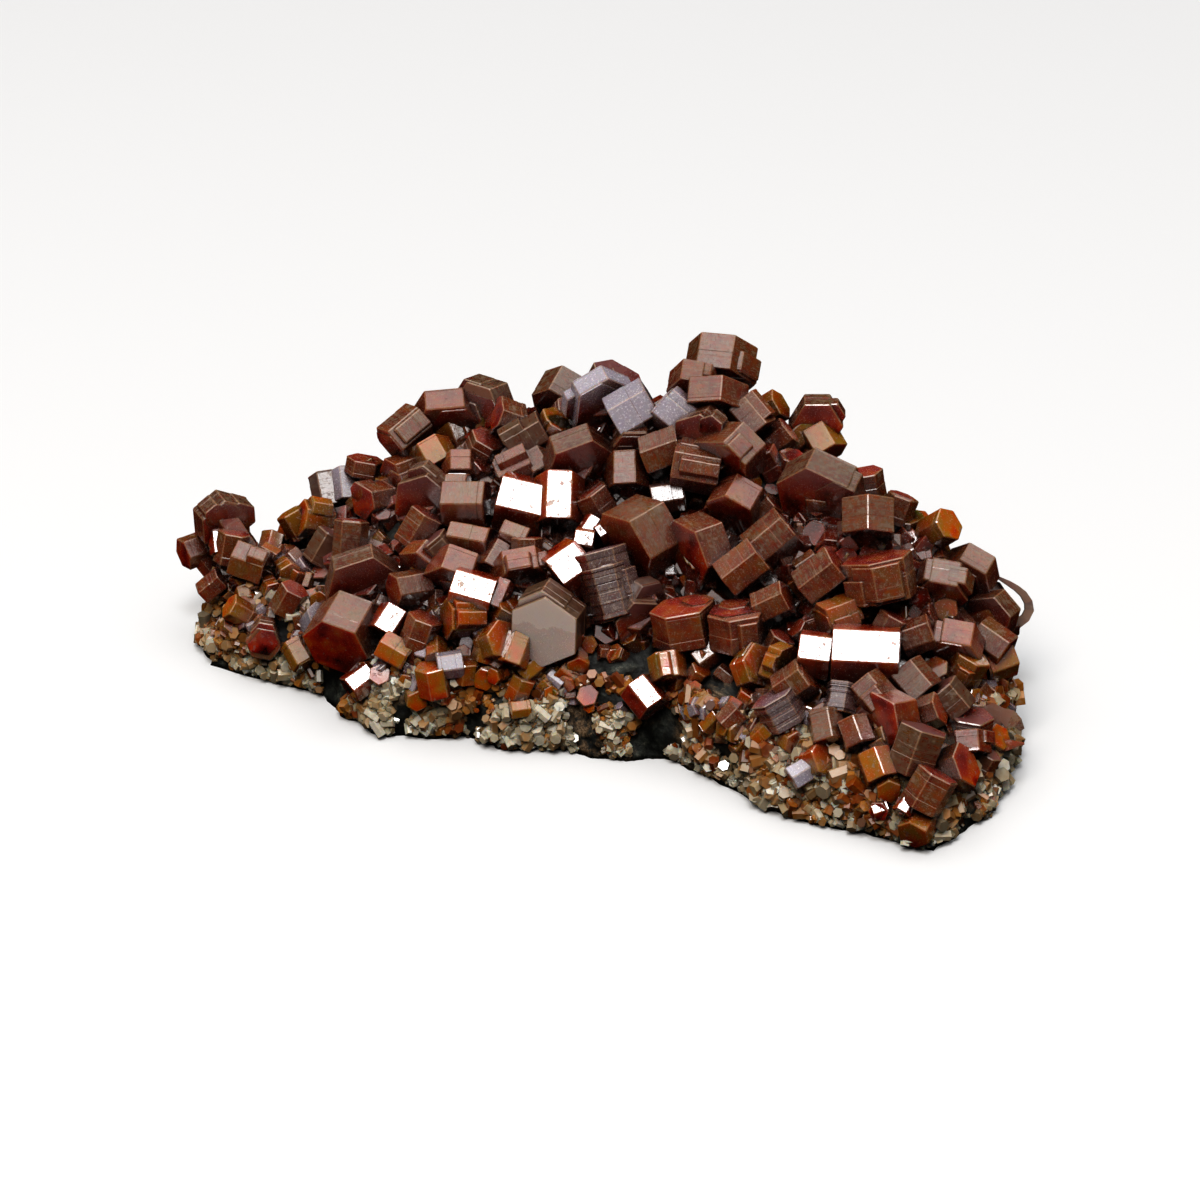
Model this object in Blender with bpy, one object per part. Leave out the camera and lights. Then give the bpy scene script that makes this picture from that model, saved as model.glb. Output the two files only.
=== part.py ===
"""Vanadinite on matrix: clusters of hexagonal crystals standing on a dark, pitted rock.

Sizes are in millimetres and become metres when a mesh is made. +Z is up, the rock's
cut foot lies on z = 0, and the long front edge of the specimen runs along X.
"""

import math
from collections import namedtuple

import bmesh
import bpy
import numpy as np
from mathutils import Matrix, Vector, noise
from mathutils.bvhtree import BVHTree

MM = 0.001

# The gap left between two pieces that grew against each other.
JOINT_GAP = 0.3
ROCK_GAP_SHARE = 1.3

# Moves the finished specimen so that the middle of its box is over the origin.
CENTRE_SHIFT = Vector((2.536, 1.216, 0.0))

# The show side: where a viewer stands, and the point looked at. Each crystal is placed
# by what it covers on a plane through that point, square to the line of sight.
SHOW_TARGET = Vector((-2.1, -6.4, 11.1))
SHOW_AZIMUTH = 32.0
SHOW_ELEVATION = 28.0
SHOW_DISTANCE = 450.0

# Faces that catch the window lean this far up from the line of sight.
MIRROR_LEAN = 20.0

# The rock. Its outline on the ground runs anticlockwise from the near right corner.
ROCK_MIDDLE = Vector((-2.0, -3.0))
ROCK_OUTLINE = [
    (40.5, -18.3), (42.0, -12.0), (42.6, -5.0), (40.0, 3.0), (36.0, 10.5), (30.0, 16.0),
    (20.0, 19.2), (8.0, 20.8), (-5.0, 20.3), (-15.0, 17.3), (-23.0, 13.8), (-30.5, 7.5),
    (-36.0, 0.5), (-41.5, -5.0), (-45.3, -10.0), (-45.5, -17.0), (-39.5, -22.0),
    (-31.0, -19.8), (-24.0, -21.4), (-20.5, -24.5), (-15.5, -24.8), (-11.0, -20.6),
    (-3.0, -20.8), (-0.5, -17.0), (5.0, -17.4), (8.5, -14.0), (12.5, -12.8),
    (18.0, -15.2), (28.0, -17.2),
]
RIM_HEIGHT = 6.5
RIM_SQUARENESS = 8.0
Hump = namedtuple("Hump", "x y reach_x reach_y height")
HUMPS = [
    Hump(-3.3, 12.2, 16.7, 12.2, 17.6),
    Hump(-27.0, 4.6, 13.0, 12.0, 10.0),
    Hump(20.0, 8.0, 15.6, 13.0, 9.0),
    Hump(-13.3, -8.9, 17.8, 10.0, 5.6),
    Hump(24.4, -6.7, 13.3, 10.0, 1.9),
    Hump(-1.1, 16.7, 7.8, 6.7, 2.6),
    Hump(-15.0, 9.5, 7.0, 7.0, 2.0),
    Hump(28.0, 9.0, 8.0, 8.0, 3.0),
    Hump(-42.5, -13.5, 6.0, 6.0, 5.5),
]
ROCK_SEGMENTS = 34
ROCK_RINGS = 7
RING_BUNCHING = 1.6
LUMP_SIZE = 5.0
LUMP_HEIGHT = 0.8
LUMP_SEED = 5

# One crystal, seen from the show side. across and up place its middle, lift is how far
# that stands off the rock. width is the prism's, corner to corner, and length runs along
# the main axis. spin is where the visible end points in the view, from 0 to the right
# anticlockwise. facing is how far that end turns to the viewer, and MIRROR turns a side
# face to the window. roll turns the crystal about its main axis.
Crystal = namedtuple("Crystal", "across up width length spin facing roll lift")
MIRROR = None

CLUMPS = {
    "knob_cluster": [
        Crystal(-37.8, 8.0, 6.2, 2.8, -50, 55, 0, 3.0),
        Crystal(-40.4, 5.0, 3.8, 3.0, 200, 20, 10, 1.4),
        Crystal(-36.8, 5.2, 3.6, 3.4, 80, 15, 0, 2.4),
        Crystal(-35.0, 3.7, 4.4, 3.6, -20, 10, 30, 2.6),
        Crystal(-38.6, 1.4, 3.0, 2.8, 40, 20, 10, 1.6),
        Crystal(-31.1, 0.0, 3.4, 3.0, 60, 25, 10, 1.8),
    ],
    "left_foot_cluster": [
        Crystal(-33.6, -4.0, 4.0, 2.6, -100, 70, 0, 1.4),
        Crystal(-36.0, -1.2, 3.0, 2.8, 150, 20, 0, 1.4),
        Crystal(-30.0, -5.4, 3.2, 3.0, -60, 20, 0, 1.0),
    ],
    "left_slope_cluster": [
        Crystal(-27.3, 10.8, 3.6, 3.8, 100, MIRROR, 0, 2.0),
        Crystal(-25.3, 11.4, 3.4, 3.6, 95, MIRROR, 0, 2.4),
        Crystal(-23.5, 13.3, 4.2, 1.8, 80, 15, 0, 2.0),
        Crystal(-22.5, 10.0, 4.0, 3.4, 190, 40, 0, 2.0),
        Crystal(-19.7, 12.8, 4.2, 3.2, 200, 30, 0, 1.6),
        Crystal(-28.5, 8.0, 4.2, 3.2, 170, 20, 0, 1.6),
        Crystal(-27.5, 5.2, 3.6, 3.6, 60, 10, 10, 1.6),
        Crystal(-30.3, 7.6, 3.4, 3.0, 120, 10, 0, 1.2),
        Crystal(-25.0, 5.4, 3.8, 5.4, 85, 5, 0, 2.4),
    ],
    "left_tablet_pair": [
        Crystal(-23.6, 1.6, 8.6, 2.6, -80, 55, 10, 2.4),
        Crystal(-25.6, -3.2, 7.4, 4.8, -120, 40, 15, 2.6),
        Crystal(-19.0, 1.2, 3.8, 3.8, 190, 25, 10, 2.4),
        Crystal(-21.0, -2.4, 4.0, 3.0, 60, MIRROR, 0, 2.0),
    ],
    "pink_tablet_cluster": [
        Crystal(-17.2, 10.0, 7.0, 2.8, -130, 60, 0, 2.6),
        Crystal(-13.4, 9.6, 5.4, 4.4, 0, 12, 30, 3.4),
        Crystal(-18.0, 7.0, 4.4, 3.8, 60, 10, 20, 3.2),
        Crystal(-15.9, 4.9, 3.6, 3.2, 130, 10, 0, 3.2),
        Crystal(-13.0, 6.0, 3.8, 4.2, -10, 15, 30, 3.2),
        Crystal(-17.6, 3.6, 5.4, 2.2, -130, 35, 0, 2.2),
        Crystal(-14.5, 2.8, 6.2, 3.0, -110, 30, 0, 2.2),
    ],
    "amber_window_cluster": [
        Crystal(-12.7, 0.6, 5.4, 4.3, -18, MIRROR, 0, 2.8),
        Crystal(-13.6, -1.9, 4.4, 3.8, 180, 20, 0, 1.8),
        Crystal(-18.2, -3.8, 3.8, 4.6, 70, 20, 0, 1.6),
        Crystal(-16.7, -8.0, 3.6, 3.2, 100, 25, 10, 1.6),
        Crystal(-20.5, -5.2, 3.6, 3.2, -30, 10, 20, 1.6),
        Crystal(-24.0, -8.2, 3.4, 2.8, 40, MIRROR, 0, 1.4),
        Crystal(-10.2, -4.2, 4.4, 3.2, 20, 60, 0, 1.8),
    ],
    "ridge_cluster": [
        Crystal(-19.5, 16.7, 4.8, 4.4, -140, 20, 0, 2.2),
        Crystal(-15.3, 17.8, 8.2, 3.0, -85, 32, 0, 3.0),
        Crystal(-11.5, 19.3, 6.4, 3.2, 200, 50, 0, 3.0),
        Crystal(-9.4, 18.0, 4.6, 3.0, 160, 20, 0, 2.4),
        Crystal(-16.3, 14.2, 4.6, 3.2, -60, 30, 0, 1.8),
        Crystal(-13.9, 13.0, 4.2, 2.8, -90, 40, 0, 1.6),
        Crystal(-11.8, 15.0, 4.0, 3.2, 60, 30, 0, 1.4),
    ],
    "ridge_saddle_cluster": [
        Crystal(-7.2, 16.0, 4.6, 4.2, 30, 5, 0, 2.0),
        Crystal(-8.3, 12.8, 4.6, 3.8, 25, 3, 20, 2.0),
        Crystal(-6.1, 13.3, 3.6, 3.0, -60, 40, 0, 2.0),
        Crystal(-4.0, 20.5, 5.2, 3.8, -120, 40, 0, 2.0),
        Crystal(-4.8, 17.0, 4.0, 3.4, 60, 30, 0, 1.4),
    ],
    "window_cluster": [
        Crystal(-7.8, 9.5, 7.0, 4.8, -15, MIRROR, 0, 2.4),
        Crystal(-4.1, 9.9, 5.4, 5.2, 88, MIRROR, 0, 3.4),
        Crystal(-8.6, 6.3, 3.2, 2.8, -20, 10, 30, 3.0),
        Crystal(-7.3, 4.8, 3.4, 2.9, 90, 5, 0, 3.2),
        Crystal(-7.8, 2.5, 7.0, 2.8, -80, 35, 0, 2.4),
        Crystal(-10.5, 4.0, 3.4, 3.2, -120, 30, 0, 2.2),
        Crystal(-0.2, 9.4, 4.2, 3.8, 120, 15, 30, 2.6),
    ],
    "crown_cluster": [
        Crystal(0.2, 19.8, 7.6, 2.6, -60, 50, 0, 3.0),
        Crystal(3.4, 18.8, 6.4, 4.4, 30, 3, 0, 3.6),
        Crystal(7.5, 18.4, 4.6, 4.0, -40, 5, 0, 2.8),
        Crystal(0.9, 21.2, 5.6, 3.6, 60, 30, 0, 2.6),
        Crystal(3.5, 16.0, 4.8, 2.6, -90, 50, 0, 2.4),
        Crystal(6.4, 14.8, 5.0, 4.0, 20, 10, 10, 3.0),
        Crystal(2.8, 12.7, 4.8, 3.6, -90, 20, 10, 3.0),
        Crystal(-2.0, 13.8, 8.2, 3.0, -70, 50, 0, 2.6),
        Crystal(9.7, 13.2, 5.4, 4.8, -10, 3, 0, 3.0),
        Crystal(6.8, 10.2, 3.6, 3.4, 10, MIRROR, 0, 2.6),
    ],
    "summit_cluster": [
        Crystal(12.0, 23.8, 7.6, 3.8, -75, 25, 0, 3.2),
        Crystal(11.5, 20.0, 7.4, 2.8, -80, 22, 0, 2.6),
        Crystal(9.0, 21.5, 4.8, 3.2, -100, 50, 0, 2.0),
        Crystal(15.0, 18.2, 4.2, 3.6, -50, 10, 0, 2.2),
        Crystal(17.0, 19.0, 3.8, 2.8, 30, 20, 0, 1.8),
        Crystal(10.2, 16.6, 5.8, 2.8, -130, 60, 0, 2.8),
        Crystal(13.3, 14.5, 7.0, 3.4, -130, 42, 0, 2.8),
    ],
    "lone_hexagon_pair": [
        Crystal(21.7, 17.9, 5.6, 3.0, -90, 68, 0, 2.4),
        Crystal(22.2, 15.7, 4.6, 3.0, -60, 20, 0, 1.4),
    ],
    "great_tablet_cluster": [
        Crystal(4.0, 6.0, 9.0, 3.8, -140, 48, 0, 3.0),
        Crystal(10.0, 5.0, 7.4, 3.0, -165, 35, 0, 2.6),
    ],
    "right_shoulder_cluster": [
        Crystal(22.0, 10.8, 8.8, 3.6, -115, 50, 0, 3.2),
        Crystal(26.8, 8.1, 6.0, 3.6, -90, 15, 30, 3.2),
        Crystal(26.8, 11.3, 3.8, 3.4, 100, 20, 0, 2.0),
        Crystal(29.9, 9.1, 3.4, 3.0, 70, 10, 0, 1.8),
    ],
    "box_crystal_cluster": [
        Crystal(17.2, 6.0, 5.0, 4.6, 40, 3, 0, 3.0),
        Crystal(14.3, 3.2, 4.8, 4.4, 38, 5, 15, 3.4),
        Crystal(13.7, 9.5, 5.8, 3.4, -120, 40, 0, 2.4),
        Crystal(22.2, 2.3, 4.8, 4.4, 38, 12, 15, 3.0),
        Crystal(17.3, -0.4, 4.0, 3.4, 25, 15, 10, 2.8),
        Crystal(23.8, -1.7, 4.2, 3.8, 200, 25, 0, 2.4),
    ],
    "right_prism_cluster": [
        Crystal(28.0, 2.2, 7.8, 4.2, 100, 25, 15, 3.2),
        Crystal(33.8, 7.0, 3.8, 3.4, 30, 40, 0, 1.6),
        Crystal(34.3, 1.5, 5.6, 3.0, -100, 35, 0, 2.2),
        Crystal(37.0, 2.8, 5.8, 2.8, -120, 40, 0, 2.4),
    ],
    "right_wing_cluster": [
        Crystal(40.0, -1.5, 6.6, 2.6, -140, 58, 0, 2.6),
        Crystal(41.6, -0.6, 5.2, 1.2, 200, 15, 0, 3.2),
        Crystal(39.2, -4.3, 4.4, 3.6, -35, 10, 0, 2.8),
        Crystal(35.4, -4.8, 6.0, 3.2, -100, 40, 0, 2.0),
        Crystal(39.6, -6.0, 4.4, 3.2, 200, 20, 0, 2.0),
        Crystal(36.4, -7.0, 4.4, 3.6, 60, 20, 0, 1.8),
    ],
    "red_topped_pair": [
        Crystal(8.4, -2.4, 6.8, 3.8, 100, 28, 0, 2.8),
        Crystal(13.8, -2.8, 6.4, 3.8, 95, 28, 0, 2.8),
        Crystal(17.7, -4.7, 3.0, 2.6, 60, 20, 0, 1.6),
    ],
    "striated_cluster": [
        Crystal(-3.0, 2.8, 6.4, 3.8, 38, MIRROR, 0, 3.4),
        Crystal(0.8, 1.6, 6.0, 7.0, 105, 3, 0, 3.6),
        Crystal(4.2, -0.2, 5.6, 1.8, -30, 40, 0, 2.4),
        Crystal(3.6, -2.0, 5.6, 1.8, -50, 50, 10, 1.8),
    ],
    "front_tablet_cluster": [
        Crystal(-5.2, -2.5, 8.0, 3.8, -115, 52, 0, 3.2),
        Crystal(-8.3, -5.0, 3.2, 3.2, -110, 10, 0, 2.4),
        Crystal(-9.4, -1.6, 3.6, 2.8, 60, 30, 0, 1.8),
    ],
    "right_window_pair": [
        Crystal(21.5, -5.5, 5.2, 3.2, -8, MIRROR, 0, 3.0),
        Crystal(26.6, -5.6, 8.0, 3.5, 92, MIRROR, 0, 3.4),
        Crystal(28.8, -2.9, 3.6, 3.0, 60, 10, 10, 2.4),
        Crystal(31.7, -3.6, 3.8, 3.2, 20, 5, 0, 2.4),
    ],
    "lower_right_cluster": [
        Crystal(24.2, -9.9, 3.8, 3.0, -100, 10, 20, 2.4),
        Crystal(27.2, -9.5, 4.6, 3.4, -50, 8, 0, 2.6),
        Crystal(31.3, -8.3, 4.8, 3.4, -50, 8, 0, 2.6),
        Crystal(28.8, -12.2, 6.4, 3.4, 190, 48, 0, 2.2),
        Crystal(22.7, -12.8, 3.8, 3.2, -80, 20, 20, 1.8),
        Crystal(25.6, -13.3, 3.6, 2.8, -70, 15, 20, 1.8),
        Crystal(31.6, -15.0, 5.2, 4.6, 70, 10, 30, 2.6),
        Crystal(35.0, -10.0, 4.2, 3.2, 130, 10, 0, 2.4),
        Crystal(32.7, -11.3, 3.6, 3.0, 20, 20, 0, 2.2),
        Crystal(27.8, -16.6, 3.8, 3.0, -70, 15, 20, 1.6),
    ],
    "broken_plate_pair": [
        Crystal(38.6, -12.0, 6.6, 1.4, 80, 25, 0, 2.6),
        Crystal(38.0, -14.0, 6.4, 2.0, -85, 10, 0, 2.2),
        Crystal(38.4, -16.2, 3.0, 2.2, 60, 20, 0, 1.0),
    ],
    "near_corner_cluster": [
        Crystal(32.9, -19.0, 4.8, 3.8, 60, 30, 15, 2.2),
        Crystal(35.2, -17.0, 4.8, 3.6, 20, 30, 0, 1.8),
        Crystal(31.8, -22.7, 4.0, 2.8, -120, 40, 0, 0.8),
    ],
    "amber_bench_cluster": [
        Crystal(19.5, -8.4, 4.2, 3.4, 35, 15, 0, 2.2),
        Crystal(18.0, -7.0, 4.6, 2.0, -20, 40, 0, 1.8),
        Crystal(15.5, -6.8, 4.8, 2.4, 20, 50, 0, 1.6),
        Crystal(18.0, -11.0, 4.8, 3.2, 120, 15, 0, 2.0),
        Crystal(22.0, -16.0, 4.4, 3.0, 20, 50, 0, 0.8),
    ],
    "hollow_cluster": [
        Crystal(4.5, -9.7, 4.0, 3.2, 125, MIRROR, 0, 2.0),
        Crystal(6.8, -6.8, 4.0, 2.8, -80, 15, 0, 1.6),
    ],
}

# The far side, which the show side hides, carries smaller crystals strewn by rule.
BACK_CLUMPS = {
    "back_left_cluster": (-20.0, 12.5, 9.0, 5.5),
    "back_middle_cluster": (2.0, 17.5, 9.0, 4.0),
    "back_right_cluster": (22.0, 15.0, 9.0, 4.0),
}
BACK_CRYSTALS = 5
BACK_WIDTHS = (4.0, 6.4)
BACK_LENGTH_SHARES = (0.5, 1.0)
BACK_UPRIGHT = 0.5
BACK_LIFT = 0.8
BACK_RIM_SHARE = 0.9
BACK_SEED = 41

# Small crystals that grew on the rock's bare front and stay one solid with it.
FRONT_DRUSE = [
    Crystal(-41.5, -4.8, 2.6, 2.4, 20, 30, 0, 0.5),
    Crystal(-13.0, -10.0, 2.8, 2.6, 30, 30, 0, 0.6),
    Crystal(-9.5, -8.4, 3.0, 2.6, 60, 30, 0, 0.6),
    Crystal(1.5, -10.0, 2.8, 2.4, 10, 40, 0, 0.5),
    Crystal(10.5, -12.0, 3.2, 2.6, 30, 30, 0, 0.5),
    Crystal(14.5, -13.0, 3.0, 2.6, 60, 40, 0, 0.6),
    Crystal(25.5, -19.6, 3.0, 2.4, 10, 30, 0, 0.4),
]

# The low root that the crystals of a cluster share, half sunk in the rock.
ROOT_HALF_HEIGHT = 2.4
ROOT_SPARE_REACH = 1.2
ROOT_SEGMENTS = 6
ROOT_RINGS = 4

# Roots reach at most this much farther than the crystals that stand on them.
ROOT_REACH = 4.0

CRYSTAL_COLOUR = (0.30, 0.055, 0.025, 1.0)
CRYSTAL_ROUGHNESS = 0.12
ROCK_COLOUR = (0.045, 0.050, 0.042, 1.0)
ROCK_ROUGHNESS = 0.8

RAY_STEP = 0.4
RAY_REACH = 75.0


def direction(azimuth, elevation):
    """Unit vector from the specimen to a viewer at this azimuth and elevation."""
    turn, rise = math.radians(azimuth), math.radians(elevation)
    level = math.cos(rise)
    return Vector((math.sin(turn) * level, -math.cos(turn) * level, math.sin(rise)))


TO_VIEWER = direction(SHOW_AZIMUTH, SHOW_ELEVATION)
EYE = SHOW_TARGET + TO_VIEWER * SHOW_DISTANCE
VIEW_RIGHT = Vector((math.cos(math.radians(SHOW_AZIMUTH)), math.sin(math.radians(SHOW_AZIMUTH)), 0))
VIEW_UP = TO_VIEWER.cross(VIEW_RIGHT)


def outline_reach(angle):
    """Distance from the rock's middle to its outline in this direction on the ground."""
    way = Vector((math.cos(angle), math.sin(angle)))
    farthest = 0.0
    for start, end in zip(ROCK_OUTLINE, ROCK_OUTLINE[1:] + ROCK_OUTLINE[:1]):
        first = Vector(start) - ROCK_MIDDLE
        along = Vector(end) - Vector(start)
        across = way.x * along.y - way.y * along.x
        if abs(across) < 1e-9:
            continue
        reach = (first.x * along.y - first.y * along.x) / across
        share = (first.x * way.y - first.y * way.x) / across
        if reach > 0 and -1e-6 <= share <= 1 + 1e-6:
            farthest = max(farthest, reach)
    return farthest


def rock_height(x, y, rim_share):
    """Height of the mound. rim_share is 0 at its middle and 1 on the outline."""
    height = RIM_HEIGHT
    for hump in HUMPS:
        away = ((x - hump.x) / hump.reach_x) ** 2 + ((y - hump.y) / hump.reach_y) ** 2
        height += hump.height * math.exp(-away)
    return height * math.sqrt(max(0.0, 1.0 - rim_share**RIM_SQUARENESS))


def rock_bmesh(grow=0.0):
    """Half a sphere's rings, each vertex moved out to the rock's face."""
    noise.seed_set(LUMP_SEED)
    shape = bmesh.new()
    bmesh.ops.create_uvsphere(
        shape, u_segments=ROCK_SEGMENTS, v_segments=2 * ROCK_RINGS, radius=1.0
    )
    below = [vertex for vertex in shape.verts if vertex.co.z < -1e-4]
    bmesh.ops.delete(shape, geom=below, context="VERTS")
    rim = [edge for edge in shape.edges if edge.is_boundary]
    bmesh.ops.contextual_create(shape, geom=rim)
    for vertex in shape.verts:
        ring = math.asin(min(1.0, max(0.0, vertex.co.z))) / (math.pi / 2)
        rim_share = 1.0 - ring**RING_BUNCHING
        angle = math.atan2(vertex.co.y, vertex.co.x)
        reach = outline_reach(angle) * rim_share
        x = ROCK_MIDDLE.x + math.cos(angle) * reach
        y = ROCK_MIDDLE.y + math.sin(angle) * reach
        z = rock_height(x, y, rim_share)
        lump = noise.noise_vector(Vector((x, y, z)) / LUMP_SIZE) * LUMP_HEIGHT
        z = z + lump.z if z > 0.0 else 0.0
        vertex.co = (x + lump.x, y + lump.y, z)
    bmesh.ops.recalc_face_normals(shape, faces=shape.faces)
    if grow:
        moved = [vertex.co + vertex.normal * grow for vertex in shape.verts]
        for vertex, place in zip(shape.verts, moved):
            vertex.co = place
    return shape


def line_of_sight(crystal):
    """Unit vector from the eye through the point that a crystal covers."""
    seen = SHOW_TARGET + VIEW_RIGHT * crystal.across + VIEW_UP * crystal.up
    return (seen - EYE).normalized()


def place_on_rock(crystal, rock):
    """Where the line of sight first comes within the crystal's lift of the rock."""
    sight = line_of_sight(crystal)
    best, best_gap = None, math.inf
    for step in range(int(2 * RAY_REACH / RAY_STEP)):
        point = EYE + sight * (SHOW_DISTANCE - RAY_REACH + step * RAY_STEP)
        _, _, _, gap = rock.find_nearest(point)
        if gap <= crystal.lift:
            return point
        if gap < best_gap:
            best, best_gap = point, gap
    return best


def crystal_axes(crystal, sight):
    """The crystal's own x, y and z axes as the columns of a rotation."""
    to_eye = -sight
    right = (VIEW_RIGHT - to_eye * VIEW_RIGHT.dot(to_eye)).normalized()
    up = to_eye.cross(right)
    spin = math.radians(crystal.spin)
    in_view = right * math.cos(spin) + up * math.sin(spin)
    if crystal.facing is MIRROR:
        lean = math.radians(MIRROR_LEAN)
        face = to_eye * math.cos(lean) + up * math.sin(lean)
        main = (in_view - face * in_view.dot(face)).normalized()
    else:
        facing = math.radians(crystal.facing)
        main = in_view * math.cos(facing) + to_eye * math.sin(facing)
        face = to_eye - main * to_eye.dot(main)
        face.normalize()
    turn = Matrix.Rotation(math.radians(crystal.roll), 3, main)
    face = turn @ face
    return Matrix((face, main.cross(face), main)).transposed()


def prism_bmesh(prism, grow=0.0):
    """One hexagonal prism, or with grow the room that it takes with a gap round it."""
    place, axes, width, length = prism
    shape = bmesh.new()
    radius = width / 2 + grow / math.cos(math.pi / 6)
    bmesh.ops.create_cone(
        shape,
        cap_ends=True,
        segments=6,
        radius1=radius,
        radius2=radius,
        depth=length + 2 * grow,
        matrix=Matrix.Translation(place) @ axes.to_4x4(),
    )
    return shape


def root_bmesh(prisms, rock, grow=0.0):
    """A flat ellipsoid half sunk in the rock, which joins the crystals of a cluster."""
    places = [prism[0] for prism in prisms]
    middle = sum(places, Vector()) / len(places)
    foot, normal, _, _ = rock.find_nearest(middle)
    _, _, ways = np.linalg.svd(np.array([place - middle for place in places]))
    long_way = Vector(ways[0])
    long_way = (long_way - normal * long_way.dot(normal)).normalized()
    cross_way = normal.cross(long_way)
    spare = ROOT_SPARE_REACH + grow
    reach_long = max(abs((place - middle).dot(long_way)) for place in places) + spare
    reach_cross = max(abs((place - middle).dot(cross_way)) for place in places) + spare
    axes = Matrix((long_way * reach_long, cross_way * reach_cross, normal * (ROOT_HALF_HEIGHT + grow)))
    shape = bmesh.new()
    bmesh.ops.create_uvsphere(
        shape,
        u_segments=ROOT_SEGMENTS,
        v_segments=ROOT_RINGS,
        radius=1.0,
        matrix=Matrix.Translation(foot) @ axes.transposed().to_4x4(),
    )
    return shape


def material(name, colour, roughness):
    made = bpy.data.materials.new(name)
    made.use_nodes = True
    shader = made.node_tree.nodes["Principled BSDF"]
    shader.inputs["Base Color"].default_value = colour
    shader.inputs["Roughness"].default_value = roughness
    shader.inputs["Metallic"].default_value = 0.0
    return made


def as_object(shape, name, collection, surface=None):
    """An object in metres made of a bmesh in millimetres, which is freed."""
    for vertex in shape.verts:
        vertex.co = (vertex.co + CENTRE_SHIFT) * MM
    bmesh.ops.recalc_face_normals(shape, faces=shape.faces)
    mesh = bpy.data.meshes.new(name)
    shape.to_mesh(mesh)
    shape.free()
    made = bpy.data.objects.new(name, mesh)
    if surface:
        mesh.materials.append(surface)
    collection.objects.link(made)
    return made


def helper_object(shape, name, collection):
    """A shape that only cuts or joins, and is left out of the specimen."""
    made = as_object(shape, name, collection)
    made.hide_render = True
    made.display_type = "WIRE"
    return made


def helper_collection(name, parent):
    made = bpy.data.collections.new(name)
    parent.children.link(made)
    return made


def combine(piece, operation, helpers):
    """Joins the helper solids to the piece, or takes them off it."""
    modifier = piece.modifiers.new(operation.lower(), "BOOLEAN")
    modifier.operation = operation
    modifier.solver = "MANIFOLD"
    modifier.operand_type = "COLLECTION"
    modifier.collection = helpers


def keep_main_body(piece):
    """Bakes the piece and drops the chips that its cuts leave loose."""
    graph = bpy.context.evaluated_depsgraph_get()
    baked = bpy.data.meshes.new_from_object(piece.evaluated_get(graph))
    piece.modifiers.clear()
    shape = bmesh.new()
    shape.from_mesh(baked)
    bmesh.ops.triangulate(shape, faces=shape.faces)
    unseen = set(shape.verts)
    bodies = []
    while unseen:
        body, edge_of_search = set(), [unseen.pop()]
        while edge_of_search:
            vertex = edge_of_search.pop()
            body.add(vertex)
            for edge in vertex.link_edges:
                other = edge.other_vert(vertex)
                if other in unseen:
                    unseen.remove(other)
                    edge_of_search.append(other)
        bodies.append(body)
    bodies.sort(key=body_volume)
    loose = [vertex for body in bodies[:-1] for vertex in body]
    bmesh.ops.delete(shape, geom=loose, context="VERTS")
    shape.to_mesh(piece.data)
    shape.free()
    bpy.data.meshes.remove(baked)


def body_volume(body):
    """Six times the volume inside one closed body of triangles."""
    faces = {face for vertex in body for face in vertex.link_faces}
    corners = ([vertex.co for vertex in face.verts] for face in faces)
    return sum(a.dot(b.cross(c)) for a, b, c in corners)


def back_crystals(name, rock):
    """Seeded crystals on the far slope, as places, axes and sizes."""
    random = np.random.default_rng(BACK_SEED + list(BACK_CLUMPS).index(name))
    x, y, reach_x, reach_y = BACK_CLUMPS[name]
    for _ in range(BACK_CRYSTALS):
        spot_x = x + random.uniform(-reach_x, reach_x)
        spot_y = y + random.uniform(-reach_y, reach_y)
        height = rock_height(spot_x, spot_y, BACK_RIM_SHARE)
        foot, normal, _, _ = rock.find_nearest(Vector((spot_x, spot_y, height)))
        width = random.uniform(*BACK_WIDTHS)
        length = width * random.uniform(*BACK_LENGTH_SHARES)
        lean = Vector(random.normal(size=3)).normalized()
        main = (normal * BACK_UPRIGHT + lean).normalized()
        face = main.orthogonal().normalized()
        axes = Matrix((face, main.cross(face), main)).transposed()
        yield foot + normal * BACK_LIFT, axes, width, length


def near_each_other(first, second):
    """True where a crystal of one cluster can reach one of the other."""
    for place_a, _, width_a, length_a in first:
        for place_b, _, width_b, length_b in second:
            reach = math.hypot(width_a, length_a) / 2 + math.hypot(width_b, length_b) / 2
            if (place_a - place_b).length < reach + ROOT_REACH:
                return True
    return False


def prism_of(crystal, rock):
    """Place, axes, width and length of a listed crystal."""
    axes = crystal_axes(crystal, line_of_sight(crystal))
    return place_on_rock(crystal, rock), axes, crystal.width, crystal.length


def add_prisms(prisms, name, collection, grow=0.0):
    for index, prism in enumerate(prisms):
        helper_object(prism_bmesh(prism, grow), f"{name}_{index}", collection)


def build_matrix(rock, collection, helpers, surface):
    """The rock with the small crystals of its front, and the room it all takes."""
    druse = [prism_of(crystal, rock) for crystal in FRONT_DRUSE]
    piece = as_object(rock_bmesh(), "matrix", collection, surface)
    crystals = helper_collection("matrix_crystals", helpers)
    add_prisms(druse, "druse", crystals)
    combine(piece, "UNION", crystals)
    below = helper_collection("below_ground", helpers)
    ground = bmesh.new()
    bmesh.ops.create_cube(ground, size=1.0, matrix=Matrix.Diagonal((140.0, 140.0, 20.0, 1.0)))
    bmesh.ops.translate(ground, verts=ground.verts, vec=(0.0, 0.0, -10.0))
    helper_object(ground, "ground", below)
    combine(piece, "DIFFERENCE", below)
    keep_main_body(piece)
    room = helper_collection("matrix_room", helpers)
    helper_object(rock_bmesh(JOINT_GAP * ROCK_GAP_SHARE), "rock_room", room)
    add_prisms(druse, "druse_room", room, JOINT_GAP)
    return room


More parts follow.
